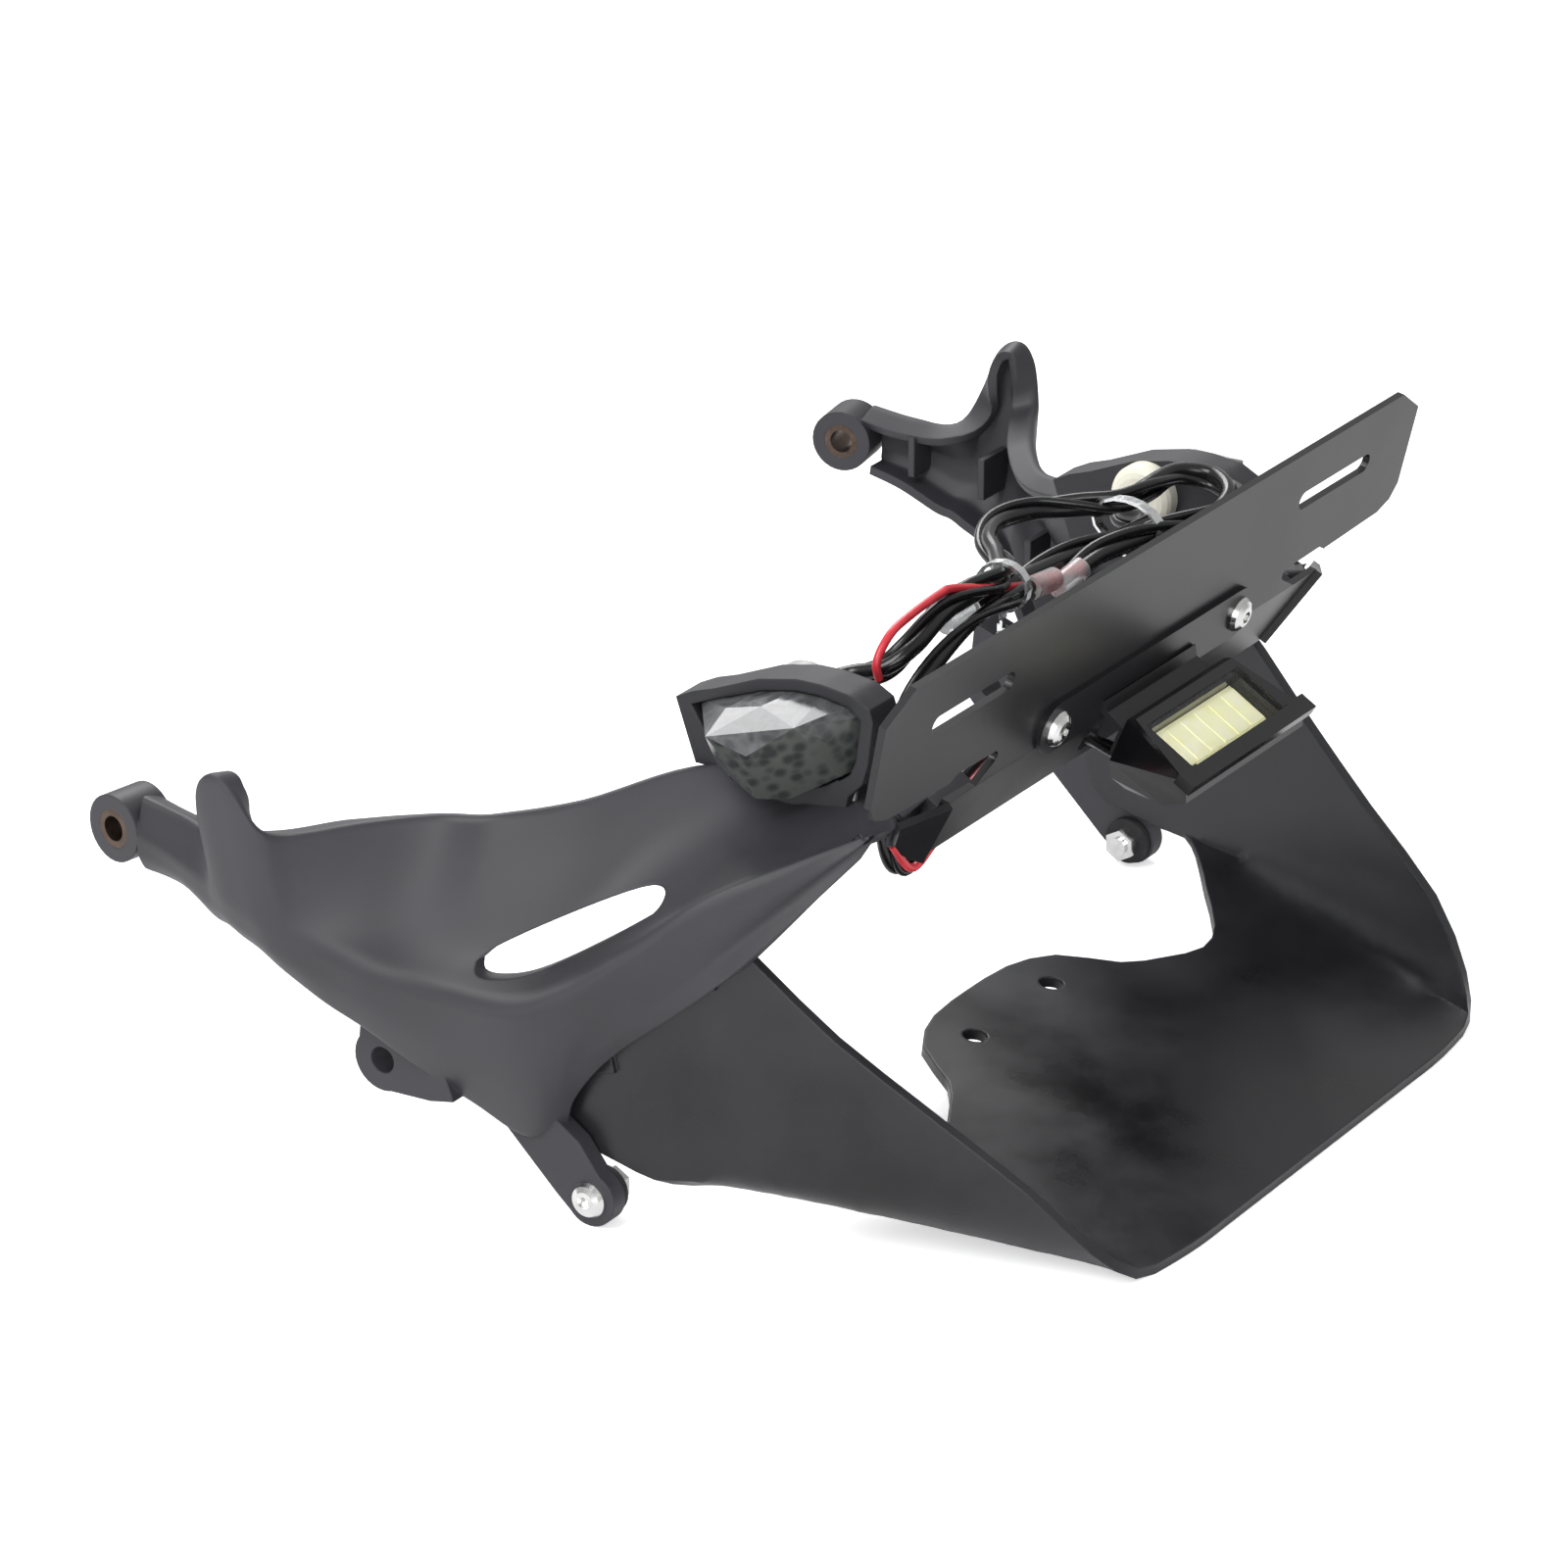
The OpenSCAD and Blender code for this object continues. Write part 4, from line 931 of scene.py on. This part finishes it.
# %% [markdown]
# ### Metals
#
# The screws are bright stainless steel, the hidden hardware is zinc plated, the eye's collar is
# oiled bronze, and the ties are wire under a silver foil.

# %% Make the metals
stainless, tree, shader = start_finish("stainless", Metallic=1.0)
dress(tree, shader, (0.62, 0.62, 0.61), (0.78, 0.78, 0.77), 0.12, 0.26, patch=3, cell=0.25, bump=0.05)
zinc, tree, shader = start_finish("zinc", Metallic=1.0)
dress(tree, shader, (0.45, 0.46, 0.47), (0.62, 0.63, 0.64), 0.3, 0.45, patch=4, cell=0.4, bump=0.1)
bronze, tree, shader = start_finish("bronze_collar", Metallic=1.0)
dress(tree, shader, (0.06, 0.045, 0.036), (0.14, 0.1, 0.08), 0.35, 0.5, patch=4, cell=0.3, bump=0.15)
silver_tie, tree, shader = start_finish("silver_tie", Metallic=1.0)
dress(tree, shader, (0.6, 0.61, 0.62), (0.85, 0.86, 0.86), 0.15, 0.35, patch=2, cell=0.8, bump=0.4)
print("metals made")

# %% [markdown]
# ### Pale and clear plastics
#
# The caps are cream, the wires red, the lamp's light strip a pale yellow with a faint painted glow,
# the indicators' boards a dull white, and the lamp's window and the sleeves are clear.

# %% Make the pale and clear finishes
pale_cap, tree, shader = start_finish("pale_cap", IOR=1.5)
dress(tree, shader, (0.72, 0.7, 0.58), (0.84, 0.82, 0.71), 0.3, 0.42, patch=10, cell=0.8, bump=0.05)
shade_by_piece(tree, shader)
red_wire, tree, shader = start_finish("red_wire", IOR=1.5)
dress(tree, shader, (0.5, 0.02, 0.035), (0.65, 0.045, 0.06), 0.3, 0.42, patch=6, cell=0.6, bump=0.1)
# The strip's emission is a painted glow, a little light of its own on top of its pale yellow
light_strip, tree, shader = start_finish(
    "light_strip", IOR=1.5, Emission_Color=(1.0, 0.98, 0.6, 1.0), Emission_Strength=0.22
)
dress(tree, shader, (0.95, 0.94, 0.5), (1.0, 0.99, 0.78), 0.35, 0.45, patch=5, cell=0.8, bump=0.05)
indicator_board, tree, shader = start_finish("indicator_board", IOR=1.5)
dress(tree, shader, (0.35, 0.34, 0.3), (0.6, 0.58, 0.5), 0.4, 0.5, patch=4, cell=0.8, bump=0.05)
clear_lens, tree, shader = start_finish("clear_lens", IOR=1.2, Transmission_Weight=1.0)
dress(tree, shader, (0.96, 0.97, 0.97), (1.0, 1.0, 1.0), 0.02, 0.05, patch=12, bump=0.0)
clear_sleeve, tree, shader = start_finish("clear_sleeve", IOR=1.45, Transmission_Weight=0.7)
dress(tree, shader, (0.7, 0.72, 0.72), (0.85, 0.87, 0.87), 0.15, 0.3, patch=4, cell=0.9, bump=0.1)
print("pale and clear finishes made")

# %% [markdown]
# ### Smoked lens
#
# The indicator's cover is grey and half clear. Its upper facets are painted lighter, in broad brushed
# streaks: the pale lining that shows through, and a painted reflection of the bright room above.
# The facets that face down and back are painted darker, as painted shade, and mottled by the bed of
# small round reflectors behind them. The facet's own direction tells the two apart.

# %% Make the smoked lens
PAINTED_SHADE_FACING, PAINTED_LIGHT_FACING = -0.12, 0.06
SPOT_CONTRAST = 1.1

smoked_lens, tree, shader = start_finish("smoked_lens", IOR=1.5, Transmission_Weight=0.15)
links = tree.links
place = tree.nodes.new("ShaderNodeTexCoord")
streaks = tree.nodes.new("ShaderNodeTexNoise")
streaks.inputs["Scale"].default_value = 160.0
streaks.inputs["Detail"].default_value = 5.0
streaks.inputs["Distortion"].default_value = 1.2
lining_and_painted_reflection = place_group(tree, tone_group, Dark=(0.035, 0.037, 0.04, 1), Light=(0.14, 0.144, 0.15, 1))
reflectors = tree.nodes.new("ShaderNodeTexVoronoi")
reflectors.inputs["Scale"].default_value = 290.0
spots = math_node(tree, "MULTIPLY", b=SPOT_CONTRAST)
reflector_mottle_and_painted_shade = place_group(tree, tone_group, Dark=(0.035, 0.038, 0.038, 1), Light=(0.085, 0.09, 0.085, 1))
facing = tree.nodes.new("ShaderNodeSeparateXYZ")
geometry = tree.nodes.new("ShaderNodeNewGeometry")
# Painted light by facing: facets that face up take the lighter tone as a painted reflection, and those
# that face down take the darker mottle as painted shade
painted_light_by_facing = tree.nodes.new("ShaderNodeMapRange")
painted_light_by_facing.inputs["From Min"].default_value = PAINTED_SHADE_FACING
painted_light_by_facing.inputs["From Max"].default_value = PAINTED_LIGHT_FACING
painted_light_split = tree.nodes.new("ShaderNodeMix")
painted_light_split.data_type = "RGBA"
rough = tree.nodes.new("ShaderNodeMapRange")
rough.inputs["To Min"].default_value = 0.07
rough.inputs["To Max"].default_value = 0.3
links.new(place.outputs["Object"], streaks.inputs["Vector"])
links.new(place.outputs["Object"], reflectors.inputs["Vector"])
links.new(streaks.outputs["Fac"], lining_and_painted_reflection.inputs["Mask"])
links.new(reflectors.outputs["Distance"], spots.inputs[0])
links.new(spots.outputs[0], reflector_mottle_and_painted_shade.inputs["Mask"])
links.new(geometry.outputs["True Normal"], facing.inputs[0])
links.new(facing.outputs["Z"], painted_light_by_facing.inputs["Value"])
links.new(painted_light_by_facing.outputs["Result"], painted_light_split.inputs["Factor"])
links.new(reflector_mottle_and_painted_shade.outputs["Color"], painted_light_split.inputs["A"])
links.new(lining_and_painted_reflection.outputs["Color"], painted_light_split.inputs["B"])
links.new(painted_light_split.outputs["Result"], shader.inputs["Base Color"])
links.new(streaks.outputs["Fac"], rough.inputs["Value"])
links.new(rough.outputs["Result"], shader.inputs["Roughness"])
print("smoked lens made")

# %% [markdown]
# ### From finishes to pieces
#
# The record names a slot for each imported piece, and the slot picks its finish. The pods are a shade
# darker than the arms, and the left cap is greyer than the right one. Both come from the same
# finish, by the piece's own colour.

# %% The finish of each slot
FINISHES = {
    "moulded_plastic": moulding,
    "coated_sheet": coated_sheet,
    "bronze_collar": bronze,
    "stainless": stainless,
    "zinc": zinc,
    "black_rubber": black_rubber,
    "smoked_lens": smoked_lens,
    "indicator_board": indicator_board,
    "pale_cap": pale_cap,
    "gloss_black": gloss_black,
    "light_strip": light_strip,
    "clear_lens": clear_lens,
    "black_cable": black_cable,
    "red_wire": red_wire,
    "clear_sleeve": clear_sleeve,
    "silver_tie": silver_tie,
}


def finish(obj, slot, material=None):
    """Gives a piece the finish of the record's slot, or the finish given."""
    obj.data.materials.clear()
    obj.data.materials.append(material or FINISHES[slot])


def finish_node(node, slot):
    """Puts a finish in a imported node's own material slots."""
    if not node.material_slots:
        node.data.materials.append(FINISHES[slot])
    for holder in node.material_slots:
        holder.material = FINISHES[slot]


# %% Give every piece its finish
LEFT_CAP_SHADE = (0.5, 0.53, 0.6, 1)
POD_SHADE = (0.7, 0.7, 0.7, 1)

for part in frame["record"]["subparts"]:
    finish_node(nodes[part["node"]], part["material_slot"])
for piece in (left_arm, right_arm, left_pod, right_pod):
    finish(piece, "moulded_plastic")
finish(tray, "moulded_plastic", tray_plastic)
nodes["left_cap"].color = LEFT_CAP_SHADE
for pod in (left_pod, right_pod):
    pod.color = POD_SHADE
for piece in left_lead + right_lead + lamp_lead:
    finish(piece, "black_cable")
for piece in red_wires:
    finish(piece, "red_wire")

# Normals weighted by face area keep flat faces flat while round ones turn smoothly
for node in nodes.values():
    for polygon in node.data.polygons:
        polygon.use_smooth = True
    if not node.hide_render:
        weighted = node.modifiers.new("even_normals", "WEIGHTED_NORMAL")
        weighted.keep_sharp = True

# %% [markdown]
# ## The studio
#
# The object lies on a white table in an even white room. Two large soft lamps stand on the camera's
# side, the key lamp above and the fill lamp lower, and a third lights the rim from behind. The table
# gives off a little light for the camera alone, so it looks white around the shadow.

# %% The table and the white room
TABLE_LIFT = 0.5
TABLE_HALF = 6.0
ROOM_STRENGTH = 0.55


def staging_material():
    """A white table that takes a shadow, lifted for camera rays only."""
    material = bpy.data.materials.new("white_table")
    material.use_nodes = True
    tree = material.node_tree
    shader = tree.nodes["Principled BSDF"]
    shader.inputs["Base Color"].default_value = (0.92, 0.92, 0.93, 1)
    shader.inputs["Roughness"].default_value = 0.8
    shader.inputs["Emission Color"].default_value = (1, 1, 1, 1)
    path = tree.nodes.new("ShaderNodeLightPath")
    glow = math_node(tree, "MULTIPLY", b=TABLE_LIFT)
    tree.links.new(path.outputs["Is Camera Ray"], glow.inputs[0])
    tree.links.new(glow.outputs[0], shader.inputs["Emission Strength"])
    return material


bm = bmesh.new()
bmesh.ops.create_grid(bm, x_segments=8, y_segments=8, size=TABLE_HALF)
floor_mesh = bpy.data.meshes.new("table_top")
bm.to_mesh(floor_mesh)
bm.free()
floor = mesh_object("table_top", floor_mesh)
floor.data.materials.append(staging_material())

world = bpy.data.worlds.new("white_room")
world.use_nodes = True
background = world.node_tree.nodes["Background"]
background.inputs["Color"].default_value = (1, 1, 1, 1)
background.inputs["Strength"].default_value = ROOM_STRENGTH
bpy.context.scene.world = world
print("table and room made")


# %% The lamps
def soft_lamp(name, place, target, size, watts):
    """A square soft lamp that faces a point."""
    data = bpy.data.lights.new(name, "AREA")
    data.shape = "SQUARE"
    data.size = size
    data.energy = watts
    lamp = bpy.data.objects.new(name, data)
    lamp.location = place
    lamp.rotation_euler = (Vector(target) - Vector(place)).to_track_quat("-Z", "Y").to_euler()
    bpy.context.scene.collection.objects.link(lamp)
    return lamp


MIDDLE = (0.0, 0.0, 0.07)
soft_lamp("key_lamp", (-1.0, 0.2, 1.3), MIDDLE, 0.9, 18)
soft_lamp("fill_lamp", (-1.3, -1.0, 0.6), MIDDLE, 1.0, 15)
soft_lamp("rim_lamp", (0.9, 0.9, 1.2), MIDDLE, 0.8, 14)

bpy.context.scene.view_settings.view_transform = "Standard"
print("studio lit")
